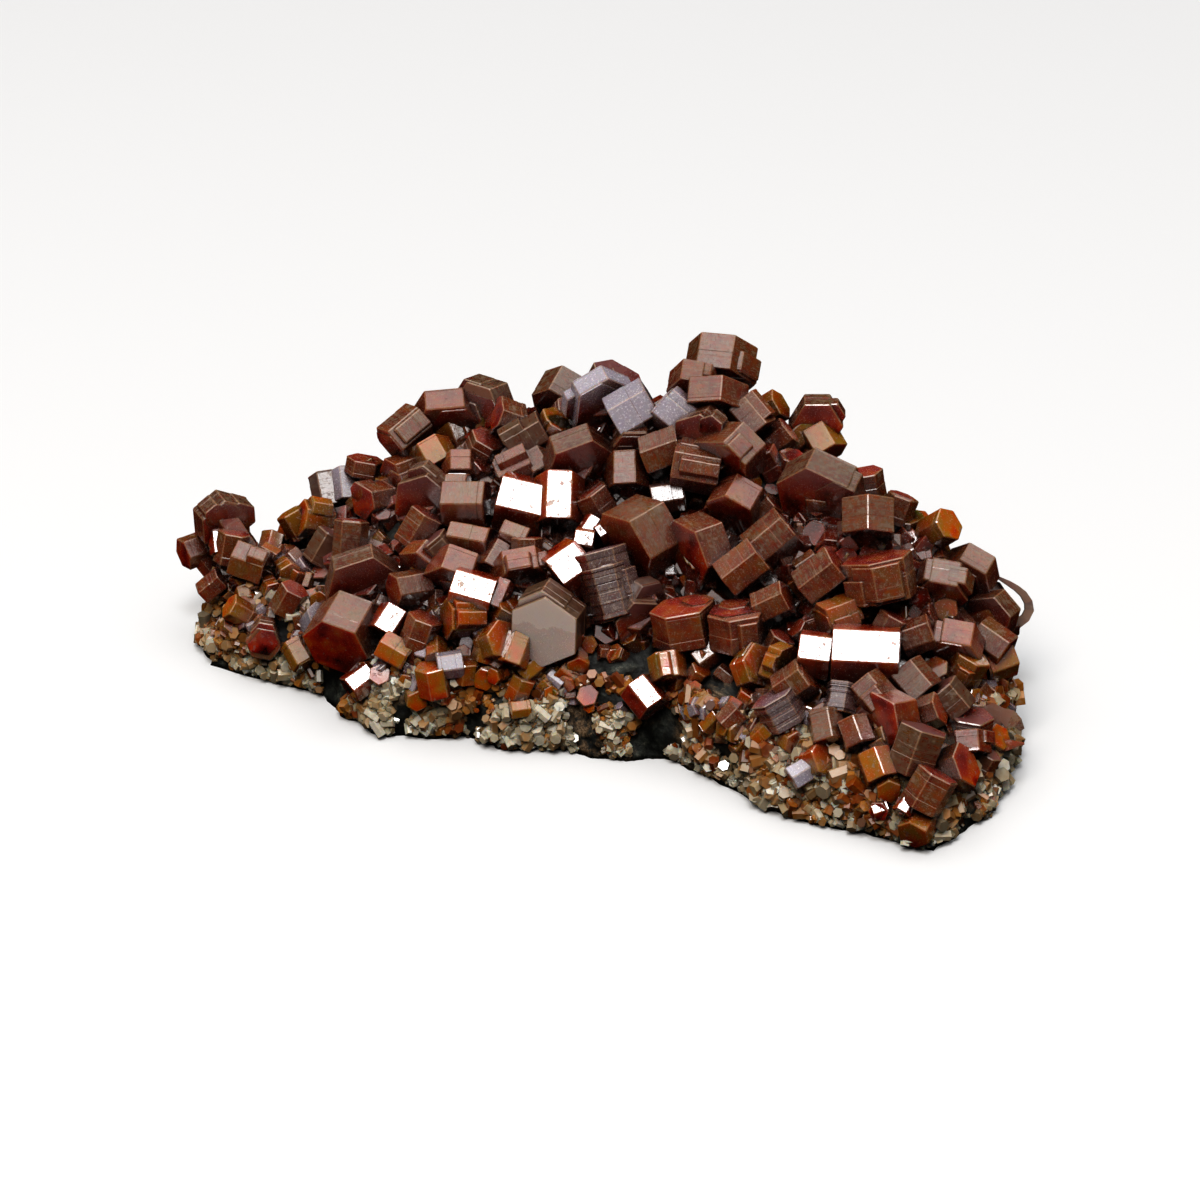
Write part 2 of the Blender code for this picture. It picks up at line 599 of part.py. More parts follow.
def build_clump(name, prisms, rock, collection, helpers, rooms):
    """One cluster: its root and crystals, less the room of what it grew against."""
    surface = material(name, CRYSTAL_COLOUR, CRYSTAL_ROUGHNESS)
    piece = as_object(root_bmesh(prisms, rock), name, collection, surface)
    crystals = helper_collection(name + "_crystals", helpers)
    add_prisms(prisms, name + "_crystal", crystals)
    combine(piece, "UNION", crystals)
    keep_off = helper_collection(name + "_keep_off", helpers)
    for room in rooms:
        keep_off.children.link(room)
    combine(piece, "DIFFERENCE", keep_off)
    keep_main_body(piece)
    room = helper_collection(name + "_room", helpers)
    add_prisms(prisms, name + "_room", room, JOINT_GAP)
    helper_object(root_bmesh(prisms, rock, JOINT_GAP), name + "_root_room", room)
    return room


def build():
    for item in list(bpy.data.objects):
        bpy.data.objects.remove(item, do_unlink=True)
    scene = bpy.context.scene.collection
    specimen = helper_collection("vanadinite_on_matrix", scene)
    helpers = helper_collection("cutters", scene)

    bare_rock = rock_bmesh()
    rock = BVHTree.FromBMesh(bare_rock)
    bare_rock.free()
    rock_surface = material("matrix_rock", ROCK_COLOUR, ROCK_ROUGHNESS)
    rock_room = build_matrix(rock, specimen, helpers, rock_surface)

    done = []
    for name in list(CLUMPS) + list(BACK_CLUMPS):
        if name in BACK_CLUMPS:
            prisms = list(back_crystals(name, rock))
        else:
            prisms = [prism_of(crystal, rock) for crystal in CLUMPS[name]]
        rooms = [room for earlier, room in done if near_each_other(prisms, earlier)]
        room = build_clump(name, prisms, rock, specimen, helpers, [rock_room] + rooms)
        done.append((prisms, room))


build()
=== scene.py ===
"""Vanadinite on matrix, the looks: crystals, druse and rock dressed for the studio.

Sizes are in millimetres and become metres when a mesh is made. Each piece stands where
the solid that it replaces stands.
"""

import math
from collections import namedtuple
from functools import partial
from typing import NamedTuple

import bmesh
import bpy
import numpy as np
from mathutils import Matrix, Vector, noise
from mathutils.bvhtree import BVHTree


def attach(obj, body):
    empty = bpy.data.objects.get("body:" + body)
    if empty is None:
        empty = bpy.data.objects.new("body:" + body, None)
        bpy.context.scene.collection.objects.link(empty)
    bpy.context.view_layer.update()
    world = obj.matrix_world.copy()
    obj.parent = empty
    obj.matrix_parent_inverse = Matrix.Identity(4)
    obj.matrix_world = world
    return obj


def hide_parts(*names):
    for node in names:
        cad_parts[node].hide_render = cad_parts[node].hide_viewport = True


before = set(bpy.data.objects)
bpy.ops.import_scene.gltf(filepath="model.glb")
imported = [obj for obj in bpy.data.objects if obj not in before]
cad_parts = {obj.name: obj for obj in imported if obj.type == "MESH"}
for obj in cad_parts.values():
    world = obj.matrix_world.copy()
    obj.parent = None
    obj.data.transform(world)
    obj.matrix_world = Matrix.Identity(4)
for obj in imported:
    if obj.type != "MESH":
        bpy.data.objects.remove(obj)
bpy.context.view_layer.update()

# The rock. A low ridge of dark grey-green matrix, bare along its front foot and on the
# far side, lumpy and pitted all over, with rusty and tan crusts where druse has grown.
MM = 0.001
CENTRE_SHIFT = Vector((2.536, 1.216, 0.0))
ROCK_MIDDLE = Vector((-2.0, -3.0))
ROCK_OUTLINE = [
    (40.5, -18.3), (42.0, -12.0), (42.6, -5.0), (40.0, 3.0), (36.0, 10.5), (30.0, 16.0),
    (20.0, 19.2), (8.0, 20.8), (-5.0, 20.3), (-15.0, 17.3), (-23.0, 13.8), (-30.5, 7.5),
    (-36.0, 0.5), (-41.5, -5.0), (-45.3, -10.0), (-45.5, -17.0), (-39.5, -22.0),
    (-31.0, -19.8), (-24.0, -21.4), (-20.5, -24.5), (-15.5, -24.8), (-11.0, -20.6),
    (-3.0, -20.8), (-0.5, -17.0), (5.0, -17.4), (8.5, -14.0), (12.5, -12.8),
    (18.0, -15.2), (28.0, -17.2),
]
RIM_HEIGHT = 6.5
RIM_SQUARENESS = 8.0
Hump = namedtuple("Hump", "x y reach_x reach_y height")
HUMPS = [
    Hump(-3.3, 12.2, 16.7, 12.2, 17.6), Hump(-27.0, 4.6, 13.0, 12.0, 10.0),
    Hump(20.0, 8.0, 15.6, 13.0, 9.0), Hump(-13.3, -8.9, 17.8, 10.0, 5.6),
    Hump(24.4, -6.7, 13.3, 10.0, 1.9), Hump(-1.1, 16.7, 7.8, 6.7, 2.6),
    Hump(-15.0, 9.5, 7.0, 7.0, 2.0), Hump(28.0, 9.0, 8.0, 8.0, 3.0),
    Hump(-42.5, -13.5, 6.0, 6.0, 5.5),
]
ROCK_SEGMENTS = 34
ROCK_RINGS = 7
RING_BUNCHING = 1.6
LUMP_SIZE = 5.0
LUMP_HEIGHT = 0.8
LUMP_SEED = 5


def outline_reach(angle):
    """Distance from the rock's middle to its outline in this direction on the ground."""
    way = Vector((math.cos(angle), math.sin(angle)))
    farthest = 0.0
    for start, end in zip(ROCK_OUTLINE, ROCK_OUTLINE[1:] + ROCK_OUTLINE[:1]):
        first = Vector(start) - ROCK_MIDDLE
        along = Vector(end) - Vector(start)
        across = way.x * along.y - way.y * along.x
        if abs(across) < 1e-9:
            continue
        reach = (first.x * along.y - first.y * along.x) / across
        share = (first.x * way.y - first.y * way.x) / across
        if reach > 0 and -1e-6 <= share <= 1 + 1e-6:
            farthest = max(farthest, reach)
    return farthest


def rock_height(x, y, rim_share):
    """Height of the mound. rim_share is 0 at its middle and 1 on the outline."""
    height = RIM_HEIGHT
    for hump in HUMPS:
        away = ((x - hump.x) / hump.reach_x) ** 2 + ((y - hump.y) / hump.reach_y) ** 2
        height += hump.height * math.exp(-away)
    return height * math.sqrt(max(0.0, 1.0 - rim_share**RIM_SQUARENESS))


def coarse_rock():
    """The rock's plain form, which carries the crystals."""
    noise.seed_set(LUMP_SEED)
    shape = bmesh.new()
    bmesh.ops.create_uvsphere(
        shape, u_segments=ROCK_SEGMENTS, v_segments=2 * ROCK_RINGS, radius=1.0
    )
    below = [vertex for vertex in shape.verts if vertex.co.z < -1e-4]
    bmesh.ops.delete(shape, geom=below, context="VERTS")
    rim = [edge for edge in shape.edges if edge.is_boundary]
    bmesh.ops.contextual_create(shape, geom=rim)
    for vertex in shape.verts:
        ring = math.asin(min(1.0, max(0.0, vertex.co.z))) / (math.pi / 2)
        rim_share = 1.0 - ring**RING_BUNCHING
        angle = math.atan2(vertex.co.y, vertex.co.x)
        reach = outline_reach(angle) * rim_share
        x = ROCK_MIDDLE.x + math.cos(angle) * reach
        y = ROCK_MIDDLE.y + math.sin(angle) * reach
        z = rock_height(x, y, rim_share)
        lump = noise.noise_vector(Vector((x, y, z)) / LUMP_SIZE) * LUMP_HEIGHT
        z = z + lump.z if z > 0.0 else 0.0
        vertex.co = (x + lump.x, y + lump.y, z)
    bmesh.ops.recalc_face_normals(shape, faces=shape.faces)
    return shape


plain_rock = coarse_rock()
rock_tree = BVHTree.FromBMesh(plain_rock)

ROCK_CUTS = 9
MERGE_STEPS = 1e4  # points closer than a ten-thousandth of a millimetre become one
SOFTENING_ROUNDS = 6
KNOB_SIZE = 2.6
KNOB_HEIGHT = 0.75
PIT_SIZE = 0.9
PIT_DEPTH = 0.9
PIT_SHARE = 0.1
PIT_SHIFT = Vector((9, 4, 2))
GRAIN_SIZE = 0.35
GRAIN_HEIGHT = 0.14
LEAST_HEIGHT = 0.02
ROCK_IOR = 1.6


def colour(code):
    """Linear colour from an sRGB hex code."""
    parts = [int(code[place : place + 2], 16) / 255 for place in (1, 3, 5)]
    linear = [
        part / 12.92 if part < 0.04045 else ((part + 0.055) / 1.055) ** 2.4 for part in parts
    ]
    return (*linear, 1.0)


def add_node(tree, kind, *values, output=0, stops=(), **settings):
    """Adds a node with its settings and links, and returns one of its outputs.

    values fill its inputs in turn, or by number or name where they come as a dictionary.
    Each is a number, a hex code or another node's output. stops are a colour ramp's places
    and hex codes. With no output asked for, the node itself comes back.
    """
    made = tree.nodes.new("ShaderNode" + kind)
    for name, setting in settings.items():
        setattr(made, name, setting)
    inputs = values[0] if values and isinstance(values[0], dict) else dict(enumerate(values))
    for key, value in inputs.items():
        if isinstance(value, bpy.types.NodeSocket):
            tree.links.new(value, made.inputs[key])
        else:
            made.inputs[key].default_value = colour(value) if isinstance(value, str) else value
    for number, (place, code) in enumerate(stops):
        elements = made.color_ramp.elements
        if 0 < number < len(stops) - 1:
            elements.new(place).color = colour(code)
        else:
            end = elements[0 if number == 0 else -1]
            end.position, end.color = place, colour(code)
    return made if output is None else made.outputs[output]


def new_material(name):
    """A new material, its node tree and its shader."""
    made = bpy.data.materials.new(name)
    made.use_nodes = True
    return made, made.node_tree, made.node_tree.nodes["Principled BSDF"]


def rock_material():
    """Dull grey-green stone with hollows darkened black as painted shade, and tan and rusty crusts
    in patches.

    Noise scales are in grains a millimetre: crust patches of 6 mm, lumps of 1 mm, fine grit.
    """
    made, tree, shader = new_material("matrix_rock_looks")
    add = partial(add_node, tree)
    place = add("TexCoord", output="Object")
    place = add("VectorMath", {0: place, 3: 1 / MM}, operation="SCALE")
    patches = add("TexNoise", {"Vector": place, "Scale": 0.16, "Detail": 4.0, "Roughness": 0.55})
    mottle = add("TexNoise", {"Vector": place, "Scale": 0.9, "Detail": 5.0, "Roughness": 0.65})
    fine = add("TexNoise", {"Vector": place, "Scale": 4.5, "Detail": 3.0, "Roughness": 0.6})
    stone = add("ValToRGB", mottle, stops=[
        (0.36, "#0d0f0e"), (0.5, "#2b2f2b"), (0.6, "#4d534c"), (0.72, "#8b8a7d"),
    ])
    crust = add("ValToRGB", fine, stops=[(0.36, "#4a3a2a"), (0.5, "#8a6d4e"), (0.66, "#b39b7c")])
    rust = add("MapRange", patches, 0.5, 0.58, interpolation_type="SMOOTHSTEP")
    spots = add("MapRange", mottle, 0.42, 0.56, interpolation_type="SMOOTHSTEP")
    rust = add("Math", rust, spots, operation="MULTIPLY")
    stone = add("Mix", {0: rust, 6: stone, 7: crust}, data_type="RGBA", output=2)

    # Painted shade: the hollows between the crystals' feet are darkened to black where little sky
    # reaches them.
    open_sky = add("AmbientOcclusion", {"Distance": 4.0 * MM}, samples=2, output="AO")
    unshaded = add("MapRange", open_sky, 0.4, 0.95, interpolation_type="SMOOTHSTEP")
    stone = add("Mix", {0: unshaded, 6: "#030302", 7: stone}, data_type="RGBA", output=2)
    tree.links.new(stone, shader.inputs["Base Color"])
    shader.inputs["IOR"].default_value = ROCK_IOR
    rough = add("Math", fine, 0.5, 0.38, operation="MULTIPLY_ADD")
    tree.links.new(rough, shader.inputs["Roughness"])
    lumps = add("Math", mottle, 0.7, operation="MULTIPLY")
    grit = add("Math", fine, 0.3, operation="MULTIPLY")
    relief = add("Math", lumps, grit, operation="ADD")
    bump = add("Bump", {"Strength": 0.9, "Distance": 0.35 * MM, "Height": relief})
    tree.links.new(bump, shader.inputs["Normal"])
    return made


def smoothed(places, edges, rounds):
    """Moves every point toward the middle of its neighbours, a few times over."""
    first, second = edges[:, 0], edges[:, 1]
    count = np.bincount(edges.ravel(), minlength=len(places))[:, None]
    for _ in range(rounds):
        near = np.zeros_like(places)
        np.add.at(near, first, places[second])
        np.add.at(near, second, places[first])
        places = 0.5 * places + 0.5 * near / count
    return places


def cut_fine(coarse):
    """The same faces, each cut into a grid in a fixed order, so that every run is alike."""
    shape = bmesh.new()
    known = {}

    def point(place):
        key = tuple(round(part * MERGE_STEPS) for part in place)
        if key not in known:
            known[key] = shape.verts.new(place)
        return known[key]

    shares = np.linspace(0.0, 1.0, ROCK_CUTS + 2)
    outlines = []
    for face in coarse.faces:
        corners = [tuple(vertex.co) for vertex in face.verts]
        start = corners.index(min(corners))
        outlines.append(corners[start:] + corners[:start])
    for corners in sorted(outlines):
        corners = np.array(corners)
        first, second, third = corners[:3]
        four_sided = len(corners) == 4
        grid = []
        for row, v in enumerate(shares):
            if four_sided:
                grid.append([
                    point(
                        (first * (1 - u) + second * u) * (1 - v)
                        + (corners[3] * (1 - u) + third * u) * v
                    )
                    for u in shares
                ])
            else:
                grid.append([
                    point(first + (second - first) * u + (third - first) * v)
                    for u in shares[: len(shares) - row]
                ])
        for low, high in zip(grid, grid[1:]):
            for step in range(len(low) - 1):
                if four_sided:
                    shape.faces.new((low[step], low[step + 1], high[step + 1], high[step]))
                else:
                    shape.faces.new((low[step], low[step + 1], high[step]))
                    if step + 1 < len(high):
                        shape.faces.new((low[step + 1], high[step + 1], high[step]))
    shape.verts.index_update()
    return shape


def fine_rock():
    """The plain form cut fine, its facets rounded off, then knobbed, pitted and grained."""
    foot = [
        face
        for face in plain_rock.faces
        if abs(face.normal.z + 1) < 0.02 and face.calc_center_median().z < 0.1
    ]
    bmesh.ops.delete(plain_rock, geom=foot, context="FACES_ONLY")
    shape = cut_fine(plain_rock)
    places = np.array([vertex.co for vertex in shape.verts])
    edges = np.array([[vertex.index for vertex in edge.verts] for edge in shape.edges])
    rim = np.array([vertex.is_boundary for vertex in shape.verts])
    soft = smoothed(places, edges, SOFTENING_ROUNDS)
    soft[rim] = places[rim]
    for vertex, place in zip(shape.verts, soft):
        vertex.co = place
    shape.normal_update()
    noise.seed_set(LUMP_SEED)
    for vertex in shape.verts:
        knob = noise.noise(vertex.co / KNOB_SIZE) * KNOB_HEIGHT
        pit = max(0.0, noise.noise(vertex.co / PIT_SIZE + PIT_SHIFT) - PIT_SHARE) * PIT_DEPTH
        rough = noise.noise(vertex.co / GRAIN_SIZE) * GRAIN_HEIGHT
        height = knob - pit + rough
        if vertex.is_boundary:
            vertex.co.x += vertex.normal.x * height
            vertex.co.y += vertex.normal.y * height
            vertex.co.z = 0.0
        else:
            vertex.co += vertex.normal * height
            vertex.co.z = max(vertex.co.z, LEAST_HEIGHT)
    rim_edges = [edge for edge in shape.edges if edge.is_boundary]
    bmesh.ops.contextual_create(shape, geom=rim_edges)
    bmesh.ops.recalc_face_normals(shape, faces=shape.faces)
    for vertex in shape.verts:
        vertex.co = (vertex.co + CENTRE_SHIFT) * MM
    mesh = bpy.data.meshes.new("rock")
    shape.to_mesh(mesh)
    shape.free()
    mesh.shade_smooth()
    return mesh


rock_mesh = fine_rock()
rock_mesh.materials.append(rock_material())
rock = bpy.data.objects.new("rock", rock_mesh)
bpy.context.scene.collection.objects.link(rock)
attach(rock, "root")
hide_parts("matrix")


# The crystals' substance. Vanadinite is a dense lead mineral with a refractive index of
# 2.35, so its faces mirror the room; what enters glows deep red, and orange where thin.
# Side faces carry a thin brown film with fine growth lines round the crystal.
class Look(NamedTuple):
    """How a crystal looks: each number goes from the first thing named to the second."""

    tone: float  # black-red to honey
    film: float  # bare to coated; frosted over 1.15, and on the ends alone over 2
    dullness: float  # mirror to dull
    ridges: int  # growth ledges round the sides


# PINK, FROST and PALE_END carry mauve, lilac-white and pale films that partly stand for painted
# reflection of the bright room.
BROWN = Look(0.44, 0.96, 0.5, 3)
RED = Look(0.34, 0.78, 0.4, 2)
AMBER = Look(0.72, 0.24, 0.3, 2)
PINK = Look(0.30, 1.10, 0.45, 3)
GREY = Look(0.42, 1.25, 0.6, 5)
FROST = Look(0.40, 1.70, 0.3, 2)
PALE_END = Look(0.24, 2.40, 0.4, 3)
DARK = Look(0.16, 0.22, 0.4, 1)
RIDGED = Look(0.40, 1.35, 0.3, 13)
GLASSY = Look(0.35, 0.30, 0.05, 1)
VANADINITE_IOR = 2.35
GLOW_REACH = 0.5


def vanadinite():
    """Resinous crystal: red in the body, orange where thin, filmed with tan, lilac or frost, with
    painted sheen, glow and shade in its colour.

    Noise scales are in grains a millimetre: clouds of 2 mm, mottles of 0.6 mm, specks of
    0.2 mm, and growth lines 0.2 mm apart along the main axis.
    """
    made, tree, shader = new_material("vanadinite_looks")
    add = partial(add_node, tree)
    local, size, look = (
        add("Attribute", attribute_name=name, output="Vector") for name in ("local", "size", "look")
    )
    basal, edge_faces, upward, rise = (
        add("Attribute", attribute_name=name, output="Fac")
        for name in ("basal", "edge_faces", "upward", "rise")
    )
    x, y, _ = add("SeparateXYZ", local, output=None).outputs
    apothem, _, seed = add("SeparateXYZ", size, output=None).outputs
    tone, film, dullness = add("SeparateXYZ", look, output=None).outputs
    prism = add("Math", 1.0, basal, operation="SUBTRACT")

    # Distance from the main axis, counted in hexagons.
    leaning_y = add("Math", y, math.sqrt(0.75), operation="MULTIPLY")
    half_x = add("Math", x, 0.5, operation="MULTIPLY")
    second = add("Math", half_x, leaning_y, operation="ADD")
    second = add("Math", second, operation="ABSOLUTE")
    third = add("Math", half_x, leaning_y, operation="SUBTRACT")
    third = add("Math", third, operation="ABSOLUTE")
    slanting = add("Math", second, third, operation="MAXIMUM")
    level = add("Math", x, operation="ABSOLUTE")
    out = add("Math", level, slanting, operation="MAXIMUM")
    out = add("Math", out, apothem, operation="DIVIDE")

    offset = add("CombineXYZ", seed, seed, seed)
    place = add("VectorMath", local, offset, operation="ADD")
    flat = add("VectorMath", place, (0.12, 0.12, 1.0), operation="MULTIPLY")
    cloud = add("TexNoise", {"Vector": place, "Scale": 0.45, "Detail": 3.0, "Roughness": 0.55})
    mottle = add("TexNoise", {"Vector": place, "Scale": 1.6, "Detail": 4.0, "Roughness": 0.6})
    speck = add("TexNoise", {"Vector": place, "Scale": 5.0, "Detail": 2.0, "Roughness": 0.7})
    lines = add("TexNoise", {"Vector": flat, "Scale": 5.0, "Detail": 3.0, "Roughness": 0.7})
    waver = add("Math", cloud, 9.0, operation="MULTIPLY")
    rings = add("Math", out, 26.0, waver, operation="MULTIPLY_ADD")
    rings = add("Math", rings, operation="SINE")

    # Body colour: black-red through orange to honey, paler at thin rims, and darker red lower in
    # each crystal as painted shade.
    cloudy = add("Math", cloud, 0.5, operation="SUBTRACT")
    share = add("Math", cloudy, 1.5, tone, operation="MULTIPLY_ADD")
    thin = add("MapRange", out, 0.7, 1.05, interpolation_type="SMOOTHSTEP")
    thin = add("Math", thin, 0.14, operation="MULTIPLY")
    share = add("Math", share, thin, operation="ADD")
    share = add("Math", rings, 0.02, share, operation="MULTIPLY_ADD")
    share = add("Math", share, 0.2, operation="SUBTRACT")
    # Painted shade: the lower a point stands in its crystal, the nearer its colour is to black-red.
    high = add("MapRange", rise, -1.0, 0.1, interpolation_type="SMOOTHSTEP")
    share = add("Math", high, 0.25, share, operation="MULTIPLY_ADD")
    body = add("ValToRGB", share, stops=[
        (0.0, "#240201"), (0.22, "#7c0c01"), (0.46, "#bc3002"), (0.68, "#d46406"),
        (0.88, "#c47a1c"), (1.0, "#b8842c"),
    ])

    # Film on the side faces: brown in streaks, heavier where the faces look up and thin underneath,
    # which adds a painted sheen of the bright room above.
    streaks = add("Math", mottle, 0.5, operation="MULTIPLY")
    streaks = add("Math", lines, 0.5, streaks, operation="MULTIPLY_ADD")
    streaks = add("MapRange", streaks, 0.36, 0.60, interpolation_type="SMOOTHSTEP")
    streaks = add("Math", streaks, 0.35, 0.65, operation="MULTIPLY_ADD")
    on_side = add("MapRange", upward, -0.3, 0.3, interpolation_type="SMOOTHSTEP")
    on_side = add("Math", on_side, 0.5, 0.5, operation="MULTIPLY_ADD")
    on_side = add("Math", on_side, streaks, operation="MULTIPLY")
    on_side = add("Math", on_side, prism, operation="MULTIPLY")

    # Film on the end faces: mauve on their upper part as a painted reflection of the bright room,
    # and pale all over on a pale end as painted light.
    on_end = add("Math", cloud, 0.8, rise, operation="MULTIPLY_ADD")
    on_end = add("MapRange", on_end, 0.1, 1.2, interpolation_type="SMOOTHSTEP")
    thick = add("MapRange", film, 0.96, 1.1, interpolation_type="SMOOTHSTEP")
    thick = add("Math", thick, 0.4, 0.5, operation="MULTIPLY_ADD")
    on_end = add("Math", on_end, thick, operation="MULTIPLY")
    on_end = add("Math", on_end, basal, operation="MULTIPLY")
    pale_end = add("MapRange", film, 2.0, 2.2, interpolation_type="SMOOTHSTEP")
    pale_end = add("Math", pale_end, basal, operation="MULTIPLY")
    pale_cover = add("Math", pale_end, 0.85, operation="MULTIPLY")

    # The whole film, with ragged patches of it anywhere.
    cover = add("Math", on_side, on_end, operation="ADD")
    cover = add("Math", cover, film, operation="MULTIPLY", use_clamp=True)
    cover = add("Math", cover, pale_cover, operation="MAXIMUM")
    ragged = add("Math", cloud, 0.3, operation="MULTIPLY")
    ragged = add("Math", mottle, 0.7, ragged, operation="MULTIPLY_ADD")
    ragged = add("MapRange", ragged, 0.60, 0.62, interpolation_type="SMOOTHSTEP")
    ragged_cover = add("Math", ragged, 0.7, operation="MULTIPLY")
    cover = add("Math", cover, ragged_cover, operation="MAXIMUM")
    # The tan film colour, which on upward faces also serves as painted sheen.
    film_and_sheen = add("Math", mottle, 0.65, operation="MULTIPLY")
    film_and_sheen = add("Math", lines, 0.35, film_and_sheen, operation="MULTIPLY_ADD")
    film_and_sheen = add("ValToRGB", film_and_sheen, stops=[
        (0.34, "#35261c"), (0.48, "#5c4432"), (0.60, "#785e47"), (0.74, "#9a8260"),
    ])
    # Painted reflection: end faces take the mauve tint.
    mauve = add("Math", basal, 0.8, operation="MULTIPLY")
    film_and_sheen = add("Mix", {0: mauve, 6: film_and_sheen, 7: "#865052"}, data_type="RGBA", output=2)

    # Frost: a lilac-white coat in place of the tan film, speckled with white; its lilac-white is
    # partly a painted reflection of the bright room, and its white specks are painted glints.
    frost = add("MapRange", film, 1.15, 1.8, interpolation_type="SMOOTHSTEP")
    all_round = add("Math", film, 2.0, operation="LESS_THAN")
    frost = add("Math", frost, all_round, operation="MULTIPLY")
    frost = add("Math", frost, pale_end, operation="MAXIMUM")
    frost_and_reflection = add("ValToRGB", speck, stops=[(0.3, "#b0aabb"), (0.6, "#c6c0d0"), (0.68, "#f0edf4")])
    frost_and_reflection = add("Mix", {0: pale_end, 6: frost_and_reflection, 7: "#d6c4bc"}, data_type="RGBA", output=2)
    film_and_sheen = add("Mix", {0: frost, 6: film_and_sheen, 7: frost_and_reflection}, data_type="RGBA", output=2)
    skin = add("Mix", {0: cover, 6: body, 7: film_and_sheen}, data_type="RGBA", output=2)
    # Painted highlight: faces along the edges, clipped corners and bevels, are lightened toward
    # pale tan.
    edge_highlight = add("Math", edge_faces, 0.45, operation="MULTIPLY")
    skin = add("Mix", {0: edge_highlight, 6: skin, 7: "#b08a6a"}, data_type="RGBA", output=2)

    # Where crystals crowd together a painted red glow tints them, and painted shade darkens the
    # hollows to black.
    open_sky = add("AmbientOcclusion", {"Distance": 5.0 * MM}, samples=2, output="AO")
    painted_glow = add("Mix", {0: 0.5, 6: skin, 7: "#ac4206"}, data_type="RGBA", output=2)
    alone = add("MapRange", open_sky, 0.50, 0.86, interpolation_type="SMOOTHSTEP")
    skin = add("Mix", {0: alone, 6: painted_glow, 7: skin}, data_type="RGBA", output=2)
    unshaded = add("MapRange", open_sky, 0.36, 0.78, interpolation_type="SMOOTHSTEP")
    skin = add("Mix", {0: unshaded, 6: "#040202", 7: skin}, data_type="RGBA", output=2)
    tree.links.new(skin, shader.inputs["Base Color"])

    # The film stops light from entering, dulls the mirror and stands up in fine lines.
    shader.inputs["IOR"].default_value = VANADINITE_IOR
    glow = add("Math", cover, -0.75, 1.0, operation="MULTIPLY_ADD")
    tree.links.new(glow, shader.inputs["Subsurface Weight"])
    shader.inputs["Subsurface Radius"].default_value = (1.0, 0.40, 0.15)
    reach = add("Math", apothem, GLOW_REACH * MM, operation="MULTIPLY")
    tree.links.new(reach, shader.inputs["Subsurface Scale"])
    shader.inputs["Subsurface Anisotropy"].default_value = 0.3
    pits = add("MapRange", speck, 0.60, 0.66, interpolation_type="SMOOTHSTEP")
    pits = add("Math", pits, ragged, operation="MAXIMUM")
    rough = add("Math", cover, 0.16, 0.05, operation="MULTIPLY_ADD")
    rough = add("Math", dullness, 0.16, rough, operation="MULTIPLY_ADD")
    rough = add("Math", pits, 0.25, rough, operation="MULTIPLY_ADD")
    tree.links.new(rough, shader.inputs["Roughness"])
    ruling = add("Math", lines, prism, operation="MULTIPLY")
    ruling = add("Math", ruling, dullness, operation="MULTIPLY")
    relief = add("Math", mottle, 0.25, operation="MULTIPLY")
    relief = add("Math", ruling, 1.4, relief, operation="MULTIPLY_ADD")
    relief = add("Math", pits, -0.5, relief, operation="MULTIPLY_ADD")
    bump = add("Bump", {"Strength": 0.5, "Distance": 0.05 * MM, "Height": relief})
    tree.links.new(bump, shader.inputs["Normal"])
    return made


CRYSTAL_SURFACE = vanadinite()

# How one crystal is made: a hexagonal prism with unequal sides, clipped corners, bevelled
# ends, ledges round its sides and, on some, a low terrace on one end, as growth leaves them.
SIDE_SPREAD = 0.07
BEVEL_WIDEST = 0.10
BEVEL_OF_WIDTH = 0.035
BEVEL_OF_LENGTH = 0.12
CORNER_CUT = 0.9
LEDGE = 0.035
LEDGE_RISE = 0.02
RULED_FROM = 8
RULED_DEPTH = 4.0
TERRACE_FROM = 3.0
TERRACE_SHARE = 0.25
TERRACE_HEIGHTS = (0.05, 0.14)
TERRACE_INSET = 0.42
TERRACE_SLOPE = 0.03
TWIN_FROM = 4.0
TWIN_WIDTHS = (0.45, 0.8)
TWIN_LENGTHS = (0.5, 0.9)
TWIN_STEPS = (0.3, 0.8)
SIDE_SHARE = 0.43


def hexagon(sides, cut):
    """Corners of a hexagon from its six side distances, each clipped to two points."""
    angles = np.radians(60.0 * np.arange(6))
    outward = np.stack([np.cos(angles), np.sin(angles)], 1)
    along = np.stack([-np.sin(angles), np.cos(angles)], 1)
    slide = (np.roll(sides, -1) - sides * 0.5) / math.sin(math.pi / 3)
    corners = sides[:, None] * outward + slide[:, None] * along
    if not cut:
        return corners
    points = np.empty((12, 2))
    points[0::2] = corners - cut * along
    points[1::2] = corners + cut * np.roll(along, -1, 0)
    return points


